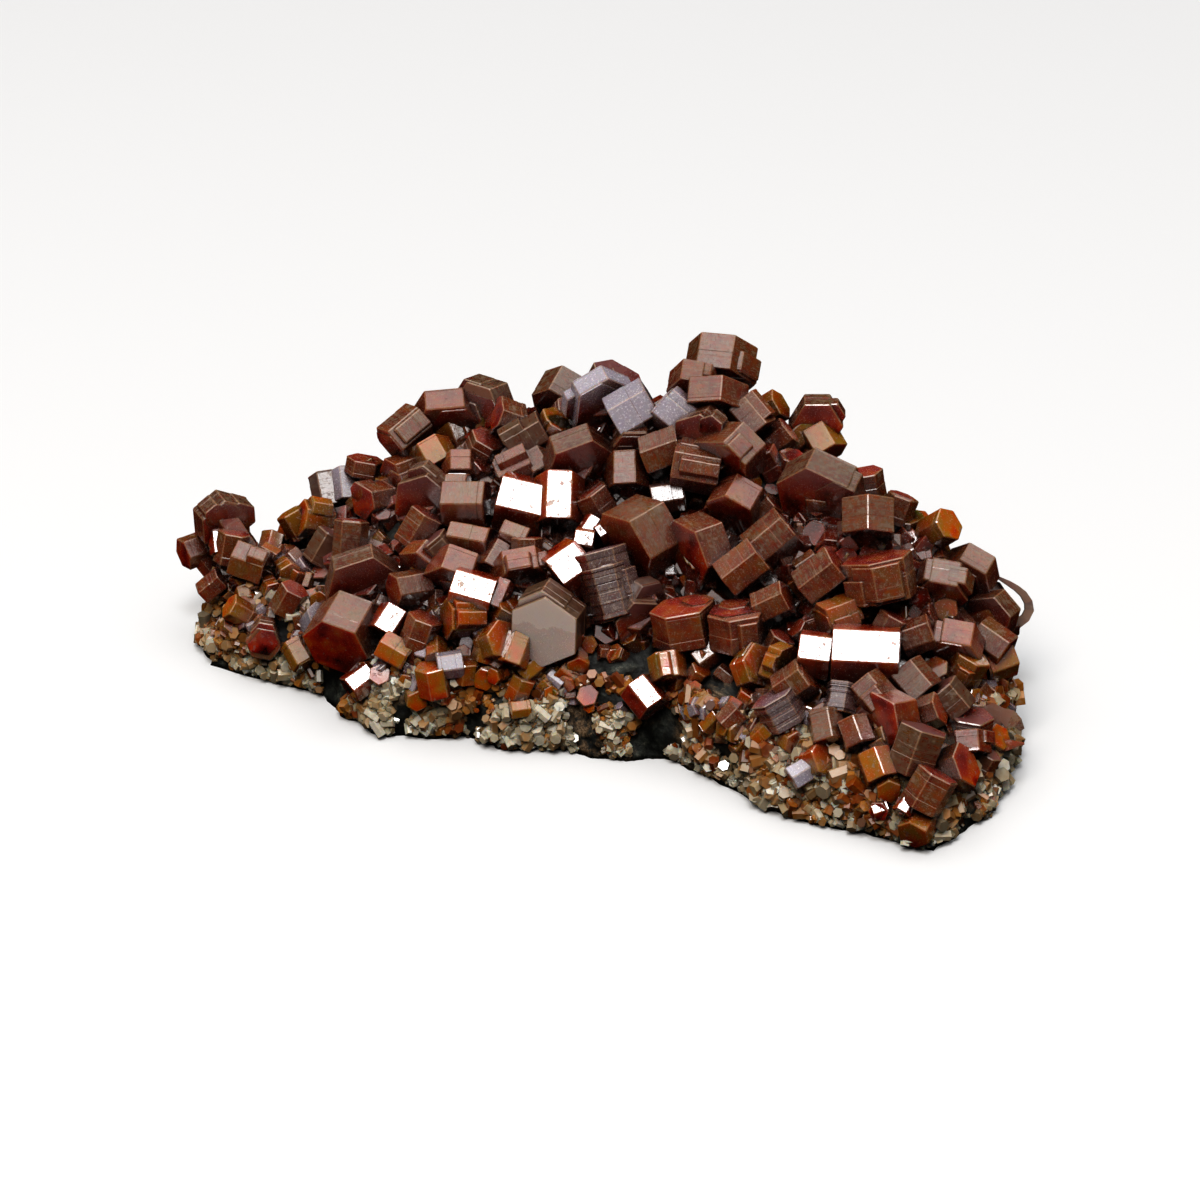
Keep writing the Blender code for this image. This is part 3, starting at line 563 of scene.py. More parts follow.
def crystal_rings(random, width, length, ridges):
    """Rings of points up the crystal's main axis, from one end to the other."""
    half = length / 2
    sides = width / 2 * math.cos(math.pi / 6) * (1 - random.uniform(0, SIDE_SPREAD, 6))
    bevel = min(BEVEL_WIDEST, BEVEL_OF_WIDTH * width, BEVEL_OF_LENGTH * length)
    cut = bevel * CORNER_CUT
    flat = half - bevel
    profile = [(-half, bevel), (-flat, 0.0)]
    inset = 0.0
    deepest = LEDGE * (1 + 0.1 * width) * (RULED_DEPTH if ridges > RULED_FROM else 1)
    for height in np.sort(random.uniform(-flat, flat, ridges)):
        lower = max(0.0, inset)
        inset = random.uniform(0, deepest)
        profile += [(height - LEDGE_RISE, lower), (height + LEDGE_RISE, inset)]
    profile += [(flat, 0.0), (half, bevel)]
    rings = [
        np.column_stack([hexagon(sides - inset, cut), np.full(12, height)])
        for height, inset in profile
    ]
    if width > TERRACE_FROM and random.uniform() < TERRACE_SHARE:
        rise = random.uniform(*TERRACE_HEIGHTS)
        terrace = random.uniform(0.0, TERRACE_INSET, 6) * random.integers(0, 2, 6) * sides
        rings[-1][:, 2] -= rise
        rings[-2][:, 2] -= rise
        inner = hexagon(sides - bevel - terrace, cut)
        edge = hexagon(sides - bevel - terrace - TERRACE_SLOPE, cut)
        rings.append(np.column_stack([inner, np.full(12, half - rise)]))
        rings.append(np.column_stack([edge, np.full(12, half)]))
    return rings, sides.mean(), half


class Growth:
    """Gathers crystals into one mesh, with what its material needs to know of each."""

    def __init__(self):
        self.points, self.local, self.size, self.look, self.rise = [], [], [], [], []
        self.faces, self.basal, self.edge_faces = [], [], []
        self.count = 0

    def add(self, rings, place, axes, size, look):
        """Adds a crystal's rings, joined by faces and closed at both ends.

        basal marks the faces that lie across the main axis, and edge_faces those along an edge,
        which the material lightens as a painted highlight.
        """
        side_count = len(rings[0])
        local = np.concatenate(rings)
        turned = local @ np.array(axes).T
        self.points.append(turned + np.array(place))
        self.rise.append(turned[:, 2] / np.abs(turned[:, 2]).max())
        self.local.append(local)
        self.size.append(np.tile(size, (len(local), 1)))
        self.look.append(np.tile(look, (len(local), 1)))
        for ring in range(len(rings) - 1):
            start = self.count + ring * side_count
            climb = abs(rings[ring + 1][0, 2] - rings[ring][0, 2])
            shift = np.abs(rings[ring + 1][:, :2] - rings[ring][:, :2]).max()
            for point in range(side_count):
                after = (point + 1) % side_count
                above = start + side_count
                self.faces.append((start + point, start + after, above + after, above + point))
                clipped = side_count == 12 and point % 2 == 0
                self.basal.append(float(shift > 2 * climb))
                self.edge_faces.append(float(clipped or shift > 0.7 * climb))
        top = self.count + (len(rings) - 1) * side_count
        self.faces.append(tuple(range(self.count + side_count - 1, self.count - 1, -1)))
        self.faces.append(tuple(range(top, top + side_count)))
        self.basal += [1.0, 1.0]
        self.edge_faces += [0.0, 0.0]
        self.count += len(local)

    def add_crystal(self, random, place, axes, width, length, look):
        """A crystal, and on a larger one a parallel twin or two that step out of it."""
        tone = look.tone + random.uniform(-0.08, 0.08)
        film = look.film * random.uniform(0.9, 1.04)
        rings, apothem, half = crystal_rings(random, width, length, look.ridges)
        seed = random.uniform(0, 90)
        self.add(rings, place, axes, (apothem, half, seed), (tone, film, look.dullness))
        if width < TWIN_FROM or look is GLASSY:
            return
        for _ in range(random.integers(0, 3)):
            share = random.uniform(*TWIN_WIDTHS)
            turn = random.integers(6) * math.pi / 3 + random.uniform(-0.3, 0.3)
            slide = width * SIDE_SHARE * (1.0 - share) + random.uniform(*TWIN_STEPS)
            twin_length = length * random.uniform(*TWIN_LENGTHS)
            climb = (length - twin_length) / 2 + random.uniform(-0.5, 0.2)
            climb *= random.choice([-1.0, 1.0])
            shift = Vector((math.cos(turn) * slide, math.sin(turn) * slide, climb))
            rings, apothem, half = crystal_rings(random, width * share, twin_length, look.ridges)
            spot = place + Matrix(axes) @ shift
            self.add(rings, spot, axes, (apothem, half, seed + 5), (tone, film, look.dullness))

    def finish(self, name, surface):
        """Makes the mesh in metres and its object, which rides on the root."""
        points = (np.concatenate(self.points) + np.array(CENTRE_SHIFT)) * MM
        mesh = bpy.data.meshes.new(name)
        mesh.from_pydata(points.tolist(), [], self.faces)
        for kind in ("local", "size", "look"):
            values = np.concatenate(getattr(self, kind)).astype(np.float32)
            layer = mesh.attributes.new(kind, "FLOAT_VECTOR", "POINT")
            layer.data.foreach_set("vector", values.ravel())
        normals = np.empty(len(mesh.polygons) * 3, np.float32)
        mesh.polygons.foreach_get("normal", normals)
        for kind, domain, values in (
            ("rise", "POINT", np.concatenate(self.rise)),
            ("basal", "FACE", self.basal),
            ("edge_faces", "FACE", self.edge_faces),
            ("upward", "FACE", normals[2::3]),
        ):
            mesh.attributes.new(kind, "FLOAT", domain).data.foreach_set("value", values)
        mesh.materials.append(surface)
        made = bpy.data.objects.new(name, mesh)
        bpy.context.scene.collection.objects.link(made)
        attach(made, "root")
        return made


# How the crystals stand: each is placed by what it covers seen from the photo's side, at
# its own height off the rock, and turned by where its visible end points.
SHOW_TARGET = Vector((-2.1, -6.4, 11.1))
SHOW_AZIMUTH = 32.0
SHOW_ELEVATION = 28.0
SHOW_DISTANCE = 450.0
MIRROR_LEAN = 20.0
RAY_STEP = 0.4
RAY_REACH = 75.0
MIRROR = None


def direction(azimuth, elevation):
    """Unit vector from the specimen to a viewer at this azimuth and elevation."""
    turn, rise = math.radians(azimuth), math.radians(elevation)
    level = math.cos(rise)
    return Vector((math.sin(turn) * level, -math.cos(turn) * level, math.sin(rise)))


TO_VIEWER = direction(SHOW_AZIMUTH, SHOW_ELEVATION)
EYE = SHOW_TARGET + TO_VIEWER * SHOW_DISTANCE
VIEW_RIGHT = Vector((math.cos(math.radians(SHOW_AZIMUTH)), math.sin(math.radians(SHOW_AZIMUTH)), 0))
VIEW_UP = TO_VIEWER.cross(VIEW_RIGHT)


def place_on_rock(sight, lift):
    """Where the line of sight first comes this near the rock, or else its nearest point."""
    best, best_gap = None, math.inf
    for step in range(int(2 * RAY_REACH / RAY_STEP)):
        point = EYE + sight * (SHOW_DISTANCE - RAY_REACH + step * RAY_STEP)
        _, _, _, gap = rock_tree.find_nearest(point)
        if gap <= lift:
            return point
        if gap < best_gap:
            best, best_gap = point, gap
    return best


def crystal_axes(spin, facing, roll, sight):
    """The crystal's own x, y and z axes as the columns of a rotation."""
    to_eye = -sight
    right = (VIEW_RIGHT - to_eye * VIEW_RIGHT.dot(to_eye)).normalized()
    up = to_eye.cross(right)
    spin, roll = math.radians(spin), math.radians(roll)
    in_view = right * math.cos(spin) + up * math.sin(spin)
    if facing is MIRROR:
        lean = math.radians(MIRROR_LEAN)
        face = to_eye * math.cos(lean) + up * math.sin(lean)
        main = (in_view - face * in_view.dot(face)).normalized()
    else:
        facing = math.radians(facing)
        main = in_view * math.cos(facing) + to_eye * math.sin(facing)
        face = (to_eye - main * to_eye.dot(main)).normalized()
    face = Matrix.Rotation(roll, 3, main) @ face
    return Matrix((face, main.cross(face), main)).transposed()


FREE_SHARE = 0.25
STEM_SHARE = 0.65
STEM_NARROWEST = 2.2
STEM_WIDEST = 4.4
STEM_SUNK = 1.0


def grow(name, rows, more=None):
    """One cluster: a row is across, up, width, length, spin, facing, roll, lift, look.

    A crystal that stands clear of the rock gets a plainer one under it, which carries it.
    """
    random = np.random.default_rng(sum(name.encode()))
    growth = Growth()
    for across, up, width, length, spin, facing, roll, lift, look in rows:
        sight = (SHOW_TARGET + VIEW_RIGHT * across + VIEW_UP * up - EYE).normalized()
        axes = crystal_axes(spin, facing, roll, sight)
        place = place_on_rock(sight, lift)
        growth.add_crystal(random, place, axes, width, length, look)
        foot, _, _, gap = rock_tree.find_nearest(place)
        if gap > FREE_SHARE * width:
            stem_width = min(STEM_WIDEST, max(STEM_NARROWEST, STEM_SHARE * width))
            face = (place - foot).orthogonal().normalized()
            main = (place - foot).normalized()
            stem_axes = Matrix((face, main.cross(face), main)).transposed()
            stem_look = (DARK, RED, AMBER)[random.integers(3)]
            middle = (place + foot) / 2
            growth.add_crystal(random, middle, stem_axes, stem_width, gap + STEM_SUNK, stem_look)
    if more:
        more(growth)
    made = growth.finish(name + "_crystals", CRYSTAL_SURFACE)
    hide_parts(name)


# Knob at the left end. A blurred heap of brown tablets; the topmost leans back, so that its
# purple-brown end face shows inside a tan rim.
grow("knob_cluster", [
    (-37.8, 8.0, 6.2, 2.8, -50, 55, 0, 3.0, PINK),
    (-40.4, 5.0, 3.8, 3.0, 200, 20, 10, 1.4, BROWN),
    (-36.8, 5.2, 3.6, 3.4, 80, 15, 0, 2.4, BROWN),
    (-35.0, 3.7, 4.4, 3.6, -20, 10, 30, 2.6, BROWN),
    (-38.6, 1.4, 3.0, 2.8, 40, 20, 10, 1.6, BROWN),
    (-31.1, 0.0, 3.4, 3.0, 60, 25, 10, 1.8, BROWN),
    (-38.2, 5.7, 2.0, 2.6, 95, MIRROR, 0, 3.2, GLASSY),
])

# Left foot. Below the knob a pinkish six-sided end face looks out of small amber crystals,
# low over the rock.
grow("left_foot_cluster", [
    (-33.6, -4.0, 4.0, 2.6, -100, 70, 0, 1.4, PINK),
    (-36.0, -1.2, 3.0, 2.8, 150, 20, 0, 1.4, AMBER),
    (-30.0, -5.4, 3.2, 3.0, -60, 20, 0, 1.0, AMBER),
])

# Left slope. Two bluish mirror faces side by side, an orange-red block behind them, and tan
# and amber prisms down to the large tablets.
grow("left_slope_cluster", [
    (-27.3, 10.8, 3.6, 3.8, 100, MIRROR, 4, 2.0, GREY),
    (-25.3, 11.4, 3.4, 3.6, 95, MIRROR, 8, 2.4, FROST),
    (-23.5, 13.3, 4.2, 1.8, 80, 15, 0, 2.0, BROWN),
    (-22.5, 10.0, 4.0, 3.4, 190, 40, 0, 2.0, BROWN),
    (-19.7, 12.8, 4.2, 3.2, 200, 30, 0, 1.6, RED),
    (-28.5, 8.0, 4.2, 3.2, 170, 20, 0, 1.6, AMBER),
    (-27.5, 5.2, 3.6, 3.6, 60, 10, 10, 1.6, GREY),
    (-30.3, 7.6, 3.4, 3.0, 120, 10, 0, 1.2, AMBER),
    (-25.0, 5.4, 3.8, 5.4, 85, 5, 0, 2.4, BROWN),
])

# Left tablets. A broad tablet with a pink rim stands behind the front's largest brown
# prism, which a bright healed crack crosses.
grow("left_tablet_pair", [
    (-23.6, 1.6, 8.6, 2.6, -80, 55, 10, 2.4, PINK),
    (-25.6, -3.2, 7.4, 4.8, -120, 40, 15, 2.6, BROWN),
    (-19.0, 1.2, 3.8, 3.8, 190, 25, 10, 2.4, BROWN),
    (-21.0, -2.4, 4.0, 3.0, 60, MIRROR, 0, 2.0, GLASSY),
])

# Pink tablet. A large pink end face beside a tall box-like prism, over tan boxes and two
# dark-red tablets seen edge-on.
grow("pink_tablet_cluster", [
    (-17.2, 10.0, 7.0, 2.8, -130, 60, 0, 2.6, PINK),
    (-13.4, 9.6, 5.4, 4.4, 0, 12, 30, 3.4, BROWN),
    (-18.0, 7.0, 4.4, 3.8, 60, 10, 20, 3.2, BROWN),
    (-15.9, 4.9, 3.6, 3.2, 130, 10, 0, 3.2, GREY),
    (-13.0, 6.0, 3.8, 4.2, -10, 15, 30, 3.2, BROWN),
    (-17.6, 3.6, 5.4, 2.2, -130, 35, 0, 2.2, RED),
    (-14.5, 2.8, 6.2, 3.0, -110, 30, 0, 2.2, RED),
])

# Amber window. A mirror face with a ragged brown strip, and under it the front's small amber
# crystals.
grow("amber_window_cluster", [
    (-12.7, 0.6, 5.4, 4.3, -18, MIRROR, 0, 2.8, GLASSY),
    (-13.6, -1.9, 4.4, 3.8, 180, 20, 0, 1.8, AMBER),
    (-18.2, -3.8, 3.8, 4.6, 70, 20, 0, 1.6, BROWN),
    (-16.7, -8.0, 3.6, 3.2, 100, 25, 10, 1.6, AMBER),
    (-20.5, -5.2, 3.6, 3.2, -30, 10, 20, 1.6, AMBER),
    (-24.0, -8.2, 3.4, 2.8, 40, MIRROR, 0, 1.4, GLASSY),
    (-10.2, -4.2, 4.4, 3.2, 20, 60, 0, 1.8, AMBER),
    (-10.1, 0.5, 2.4, 3.2, 70, MIRROR, 6, 2.8, GLASSY),
    (-15.0, -6.5, 3.0, 2.6, 10, MIRROR, 9, 1.8, FROST),
])

# Ridge. The left skyline: a big tablet with a long tan side over a black-red end face, and
# blurred peaks behind it.
grow("ridge_cluster", [
    (-19.5, 16.7, 4.8, 4.4, -140, 20, 0, 2.2, BROWN),
    (-15.3, 17.8, 8.2, 3.0, -85, 46, 0, 3.0, RED),
    (-11.5, 19.3, 6.4, 3.2, 200, 50, 0, 3.0, PINK),
    (-9.4, 18.0, 4.6, 3.0, 160, 20, 0, 2.4, BROWN),
    (-16.3, 14.2, 4.6, 3.2, -60, 30, 0, 1.8, AMBER),
    (-13.9, 13.0, 4.2, 2.8, -90, 40, 0, 1.6, RED),
    (-11.8, 15.0, 4.0, 3.2, 60, 30, 0, 1.4, BROWN),
])

# Saddle of the ridge. Brown striated prisms and dark red ones, with a blurred orange-pink
# crystal behind.
grow("ridge_saddle_cluster", [
    (-7.2, 16.0, 4.6, 4.2, 30, 5, 0, 2.0, GREY),
    (-8.3, 12.8, 4.6, 3.8, 25, 3, 20, 2.0, RED),
    (-6.1, 13.3, 3.6, 3.0, -60, 40, 0, 2.0, BROWN),
    (-4.0, 20.5, 5.2, 3.8, -120, 40, 0, 2.0, PINK),
    (-4.8, 17.0, 4.0, 3.4, 60, 30, 0, 1.4, AMBER),
])

# Windows. Two tall white mirror faces, small tan boxes and a wide dark-red tablet between
# them.
grow("window_cluster", [
    (-7.8, 9.5, 7.0, 4.8, -15, MIRROR, 0, 2.4, GLASSY),
    (-4.1, 9.9, 5.4, 5.2, 88, MIRROR, 0, 3.4, GLASSY),
    (-8.6, 6.3, 3.2, 2.8, -20, 10, 30, 3.0, BROWN),
    (-7.3, 4.8, 3.4, 2.9, 90, 5, 0, 3.2, BROWN),
    (-7.8, 2.5, 7.0, 2.8, -80, 35, 0, 2.4, RED),
    (-10.5, 4.0, 3.4, 3.2, -120, 30, 0, 2.2, BROWN),
    (-0.2, 9.4, 4.2, 3.8, 120, 15, 30, 2.6, BROWN),
    (-1.0, 7.2, 2.4, 2.2, 60, MIRROR, 0, 3.4, GLASSY),
    (0.7, 7.0, 2.6, 2.4, 35, MIRROR, 0, 3.4, GLASSY),
    (-1.6, 5.8, 3.0, 2.0, -10, MIRROR, 0, 3.6, GLASSY),
])

# Crown. A lilac-white tablet, speckled along its rim, over grey-lilac squares and a large
# tablet whose end face goes from purple to dark red.
grow("crown_cluster", [
    (0.2, 19.8, 7.6, 2.6, -60, 50, 0, 3.0, FROST),
    (3.4, 18.8, 6.0, 4.4, 30, 3, 0, 3.6, FROST),
    (7.5, 18.4, 4.6, 4.0, -40, 5, 0, 2.8, FROST),
    (0.9, 21.2, 5.6, 3.6, 60, 30, 0, 2.6, PINK),
    (3.5, 16.0, 4.8, 2.6, -90, 50, 0, 2.4, PINK),
    (6.4, 14.8, 5.0, 4.0, 20, 10, 10, 3.0, BROWN),
    (2.8, 12.7, 4.8, 3.6, -90, 20, 10, 3.0, BROWN),
    (-2.0, 13.8, 8.2, 3.0, -70, 50, 0, 2.6, PINK),
    (9.7, 13.2, 5.4, 4.8, -10, 3, 0, 3.0, BROWN),
    (6.8, 10.2, 3.6, 3.4, 10, MIRROR, 0, 2.6, RIDGED),
])

# Summit. The highest tablet, tan above and dark red below, with others stepping down to a
# pink-red and a brown one.
grow("summit_cluster", [
    (12.0, 23.8, 7.6, 3.8, -100, 20, 14, 3.2, BROWN),
    (11.5, 20.0, 7.4, 2.8, -95, 22, 22, 2.6, BROWN),
    (9.0, 21.5, 4.8, 3.2, -100, 50, 0, 2.0, BROWN),
    (15.0, 18.2, 4.2, 3.6, -50, 10, 0, 2.2, BROWN),
    (17.0, 19.0, 3.8, 2.8, 30, 20, 0, 1.8, AMBER),
    (17.9, 16.1, 3.4, 3.0, 40, 10, 0, 1.2, BROWN),
    # The two black-red DARK crystals fill a patch that lies in shadow: painted shade.
    (16.6, 13.6, 3.6, 3.2, 120, 20, 0, 1.0, DARK),
    (19.0, 13.4, 3.2, 2.8, 70, 30, 0, 0.8, DARK),
    (14.2, 11.6, 3.2, 3.0, 30, 30, 0, 1.0, AMBER),
    (10.2, 16.6, 5.8, 2.8, -130, 60, 0, 2.8, PINK),
    (13.3, 14.5, 7.0, 3.6, -135, 34, 0, 2.8, BROWN),
])

# Lone hexagon. A pink-brown six-sided face stands free against the sky on a yellow-brown
# crystal.
grow("lone_hexagon_pair", [
    (21.7, 17.9, 5.6, 3.0, -90, 68, 0, 2.4, PINK),
    (22.2, 15.7, 4.6, 3.0, -60, 20, 0, 1.4, AMBER),
])

# Great tablet. In the middle of the front a wide tablet shows a glowing red end face under
# broad brown sides, with a second beside it.
grow("great_tablet_cluster", [
    (4.0, 6.0, 8.8, 4.8, -150, 33, 0, 3.0, BROWN),
    (10.0, 5.0, 7.6, 3.4, -160, 30, 0, 2.6, BROWN),
])

# Right shoulder. The largest end face, pink at the top and red below, and a brown block on
# its right.
grow("right_shoulder_cluster", [
    (22.0, 10.8, 8.8, 3.6, -115, 50, 0, 3.2, PINK),
    (26.8, 8.1, 6.0, 3.6, -90, 15, 30, 3.2, BROWN),
    (26.8, 11.3, 3.8, 3.4, 100, 20, 0, 2.0, BROWN),
    (29.9, 9.1, 3.4, 3.0, 70, 10, 0, 1.8, BROWN),
])

# Boxes. Short prisms as long as wide, seen side-on with their ends to the upper right.
grow("box_crystal_cluster", [
    (17.2, 6.0, 5.0, 4.6, 40, 3, 0, 3.0, BROWN),
    (14.3, 3.2, 4.8, 4.4, 38, 5, 15, 3.4, BROWN),
    (13.7, 9.5, 5.8, 3.4, -120, 40, 0, 2.4, RED),
    (22.2, 2.3, 4.8, 4.4, 38, 12, 15, 3.0, BROWN),
    (17.3, -0.4, 4.0, 3.4, 25, 15, 10, 2.8, BROWN),
    (23.8, -1.7, 4.2, 3.8, 200, 25, 0, 2.4, AMBER),
])

# Right prism. A big tan prism with a dark-red top face, and blurred tablets toward the
# right end.
grow("right_prism_cluster", [
    (28.0, 2.2, 7.6, 4.2, 100, 10, 15, 3.2, BROWN),
    (33.8, 7.0, 3.8, 3.4, 30, 40, 0, 1.6, AMBER),
    (34.3, 1.5, 5.6, 3.0, -100, 35, 0, 2.2, BROWN),
    (37.0, 2.8, 5.8, 2.8, -120, 40, 0, 2.4, BROWN),
])

# Right wing. Blurred grey and pink tablets at the far right end, with a thin pale blade
# that curls out of them against the sky.
BLADE_TRACK = [
    (39.6, 2.4), (40.9, 1.7), (41.7, 1.2), (42.4, 0.6),
    (42.9, -0.2), (43.0, -1.0), (42.6, -1.8), (41.6, -2.5),
]
BLADE_WIDTHS = [0.2, 0.5, 0.6, 0.7, 0.8, 0.9, 0.9, 1.0]


def strip(growth, track, widths, thick, depth, look):
    """A thin plate that follows a track across the view, at this depth toward the viewer."""
    rings = []
    places = [
        SHOW_TARGET + VIEW_RIGHT * across + VIEW_UP * up + TO_VIEWER * depth for across, up in track
    ]
    earlier, later = places[:1] + places, places[1:] + places[-1:]
    for place, before, after, width in zip(places, earlier, later, widths):
        side = TO_VIEWER.cross(after - before).normalized() * width / 2
        deep = TO_VIEWER * thick / 2
        rings.append(np.array([
            place + side + deep, place - side + deep, place - side - deep, place + side - deep,
        ]))
    shade = (look.tone, look.film, look.dullness)
    growth.add(rings, (0, 0, 0), Matrix.Identity(3), (1.0, 1.0, 0.0), shade)


def curved_blade(growth):
    strip(growth, BLADE_TRACK, BLADE_WIDTHS, 1.1, -0.9, GREY)


grow("right_wing_cluster", [
    (39.2, -1.6, 5.6, 2.6, -140, 58, 0, 2.6, PINK),
    (40.8, -2.2, 3.4, 1.4, 200, 15, 0, 2.8, GREY),
    (39.2, -4.3, 4.4, 3.6, -35, 10, 0, 2.8, BROWN),
    (35.4, -4.8, 6.0, 3.2, -100, 40, 0, 2.0, RED),
    (39.6, -6.0, 4.4, 3.2, 200, 20, 0, 2.0, AMBER),
    (36.4, -7.0, 4.4, 3.6, 60, 20, 0, 1.8, AMBER),
], curved_blade)

# Red-topped pair. Two tablets with tan sides and glowing red upper faces, side by side.
grow("red_topped_pair", [
    (8.4, -2.4, 6.6, 3.8, 100, 20, 0, 2.8, BROWN),
    (13.8, -2.8, 6.2, 3.8, 95, 20, 15, 2.8, BROWN),
    (17.7, -4.7, 3.0, 2.6, 60, 20, 0, 1.6, BROWN),
])

# Striated prism. A white mirror face beside a long grey prism ruled with ledges, with thin
# grey plates stacked below it.
grow("striated_cluster", [
    (-3.0, 2.8, 6.4, 3.8, 38, MIRROR, 0, 3.4, GLASSY),
    (0.8, 1.6, 6.0, 7.0, 105, 3, 0, 3.6, RIDGED),
    (4.2, -0.2, 5.6, 1.8, -30, 40, 0, 2.4, GREY),
    (3.6, -2.0, 5.6, 1.8, -50, 50, 10, 1.8, GREY),
])

# Front tablet. A large lilac-white end face looks at the viewer, with a pink-brown side above
# and dark-red sides on the right.
grow("front_tablet_cluster", [
    (-5.2, -2.5, 8.0, 3.8, -125, 62, 0, 3.2, PALE_END),
    (-8.3, -5.0, 3.2, 3.2, -110, 10, 0, 2.4, AMBER),
    (-9.4, -1.6, 3.6, 2.8, 60, 30, 0, 1.8, AMBER),
])

# Right windows. Two white mirror faces in a row, the right one fading to brown.
grow("right_window_pair", [
    (21.5, -5.5, 5.2, 3.2, -8, MIRROR, 0, 3.0, GLASSY),
    (26.6, -5.7, 7.0, 6.6, -3, MIRROR, 0, 2.6, GLASSY),
    (28.8, -2.9, 3.6, 3.0, 60, 10, 10, 2.4, BROWN),
    (31.7, -3.6, 3.8, 3.2, 20, 5, 0, 2.4, BROWN),
])

# Lower right. A crowd of pinkish-brown boxes round one glowing orange-red crystal.
grow("lower_right_cluster", [
    (24.2, -9.9, 3.8, 3.0, -100, 10, 20, 2.4, RIDGED),
    (27.2, -9.5, 4.6, 3.4, -50, 8, 0, 2.6, BROWN),
    (31.3, -8.3, 4.8, 3.4, -50, 8, 0, 2.6, BROWN),
    (28.8, -12.2, 6.4, 3.4, 190, 48, 0, 2.2, RED),
    (22.7, -12.8, 3.8, 3.2, -80, 20, 20, 1.8, BROWN),
    (25.6, -13.3, 3.6, 2.8, -70, 15, 20, 1.8, BROWN),
    (31.6, -15.0, 5.2, 4.6, 70, 10, 30, 2.6, GREY),
    (35.0, -10.0, 4.2, 3.2, 130, 10, 0, 2.4, GREY),
    (32.7, -11.3, 3.6, 3.0, 20, 20, 0, 2.2, BROWN),
    (27.8, -16.6, 3.8, 3.0, -70, 15, 20, 1.6, AMBER),
])

# Broken plate. A thin pinkish plate with a ragged end over a dark wedge, both standing out to
# the right.
PLATE_TRACK = [
    (35.4, -11.9), (36.6, -11.7), (37.6, -11.5), (38.4, -11.3),
    (39.1, -11.2), (39.8, -11.6), (40.6, -11.9), (41.0, -12.6),
]
PLATE_WIDTHS = [2.6, 2.8, 2.4, 2.7, 1.4, 1.9, 1.0, 0.5]
WEDGE_TRACK = [
    (34.8, -14.2), (36.0, -14.2), (37.4, -14.2), (38.6, -14.1), (39.8, -14.0), (41.1, -13.9),
]
WEDGE_WIDTHS = [2.4, 2.3, 2.0, 1.5, 0.9, 0.2]


def plate_and_wedge(growth):
    strip(growth, PLATE_TRACK, PLATE_WIDTHS, 1.0, 12.6, PINK)
    strip(growth, WEDGE_TRACK, WEDGE_WIDTHS, 1.6, 13.4, DARK)


grow("broken_plate_pair", [
    (37.0, -12.2, 4.8, 1.6, 80, 25, 0, 2.4, PINK),
    (36.8, -14.4, 4.8, 2.2, -85, 10, 0, 2.0, RED),
    (38.4, -16.2, 3.0, 2.2, 60, 20, 0, 1.0, GREY),
], plate_and_wedge)

# Near corner. A tan box with a darker top over small bright crystals and an orange one.
grow("near_corner_cluster", [
    (32.9, -19.0, 4.6, 3.8, 60, 12, 15, 2.2, BROWN),
    (35.2, -17.0, 4.8, 3.6, 20, 30, 0, 1.8, BROWN),
    (31.8, -22.6, 3.6, 2.8, -120, 40, 0, 0.8, AMBER),
    (28.0, -21.0, 1.8, 1.6, 20, MIRROR, 0, 1.2, GLASSY),
    (30.6, -20.6, 2.2, 1.8, 60, MIRROR, 0, 1.4, GLASSY),
])

# Amber bench. Amber blocks at the edge of the shadow under the red-topped pair.
grow("amber_bench_cluster", [
    (19.5, -8.4, 4.2, 3.4, 35, 15, 0, 2.2, BROWN),
    (18.0, -7.0, 4.6, 2.0, -20, 40, 0, 1.8, AMBER),
    (15.5, -6.8, 4.8, 2.4, 20, 50, 0, 1.6, AMBER),
    (18.0, -11.0, 4.8, 3.2, 120, 15, 0, 2.0, RIDGED),
    (22.0, -16.0, 4.4, 3.0, 20, 50, 0, 0.8, AMBER),
])

# Hollow. One white-topped grey box stands alone in the shadow.
grow("hollow_cluster", [
    (4.5, -9.7, 4.0, 3.2, 125, MIRROR, 0, 2.0, GLASSY),
    (6.8, -6.8, 4.0, 2.8, -80, 15, 0, 1.6, AMBER),
])

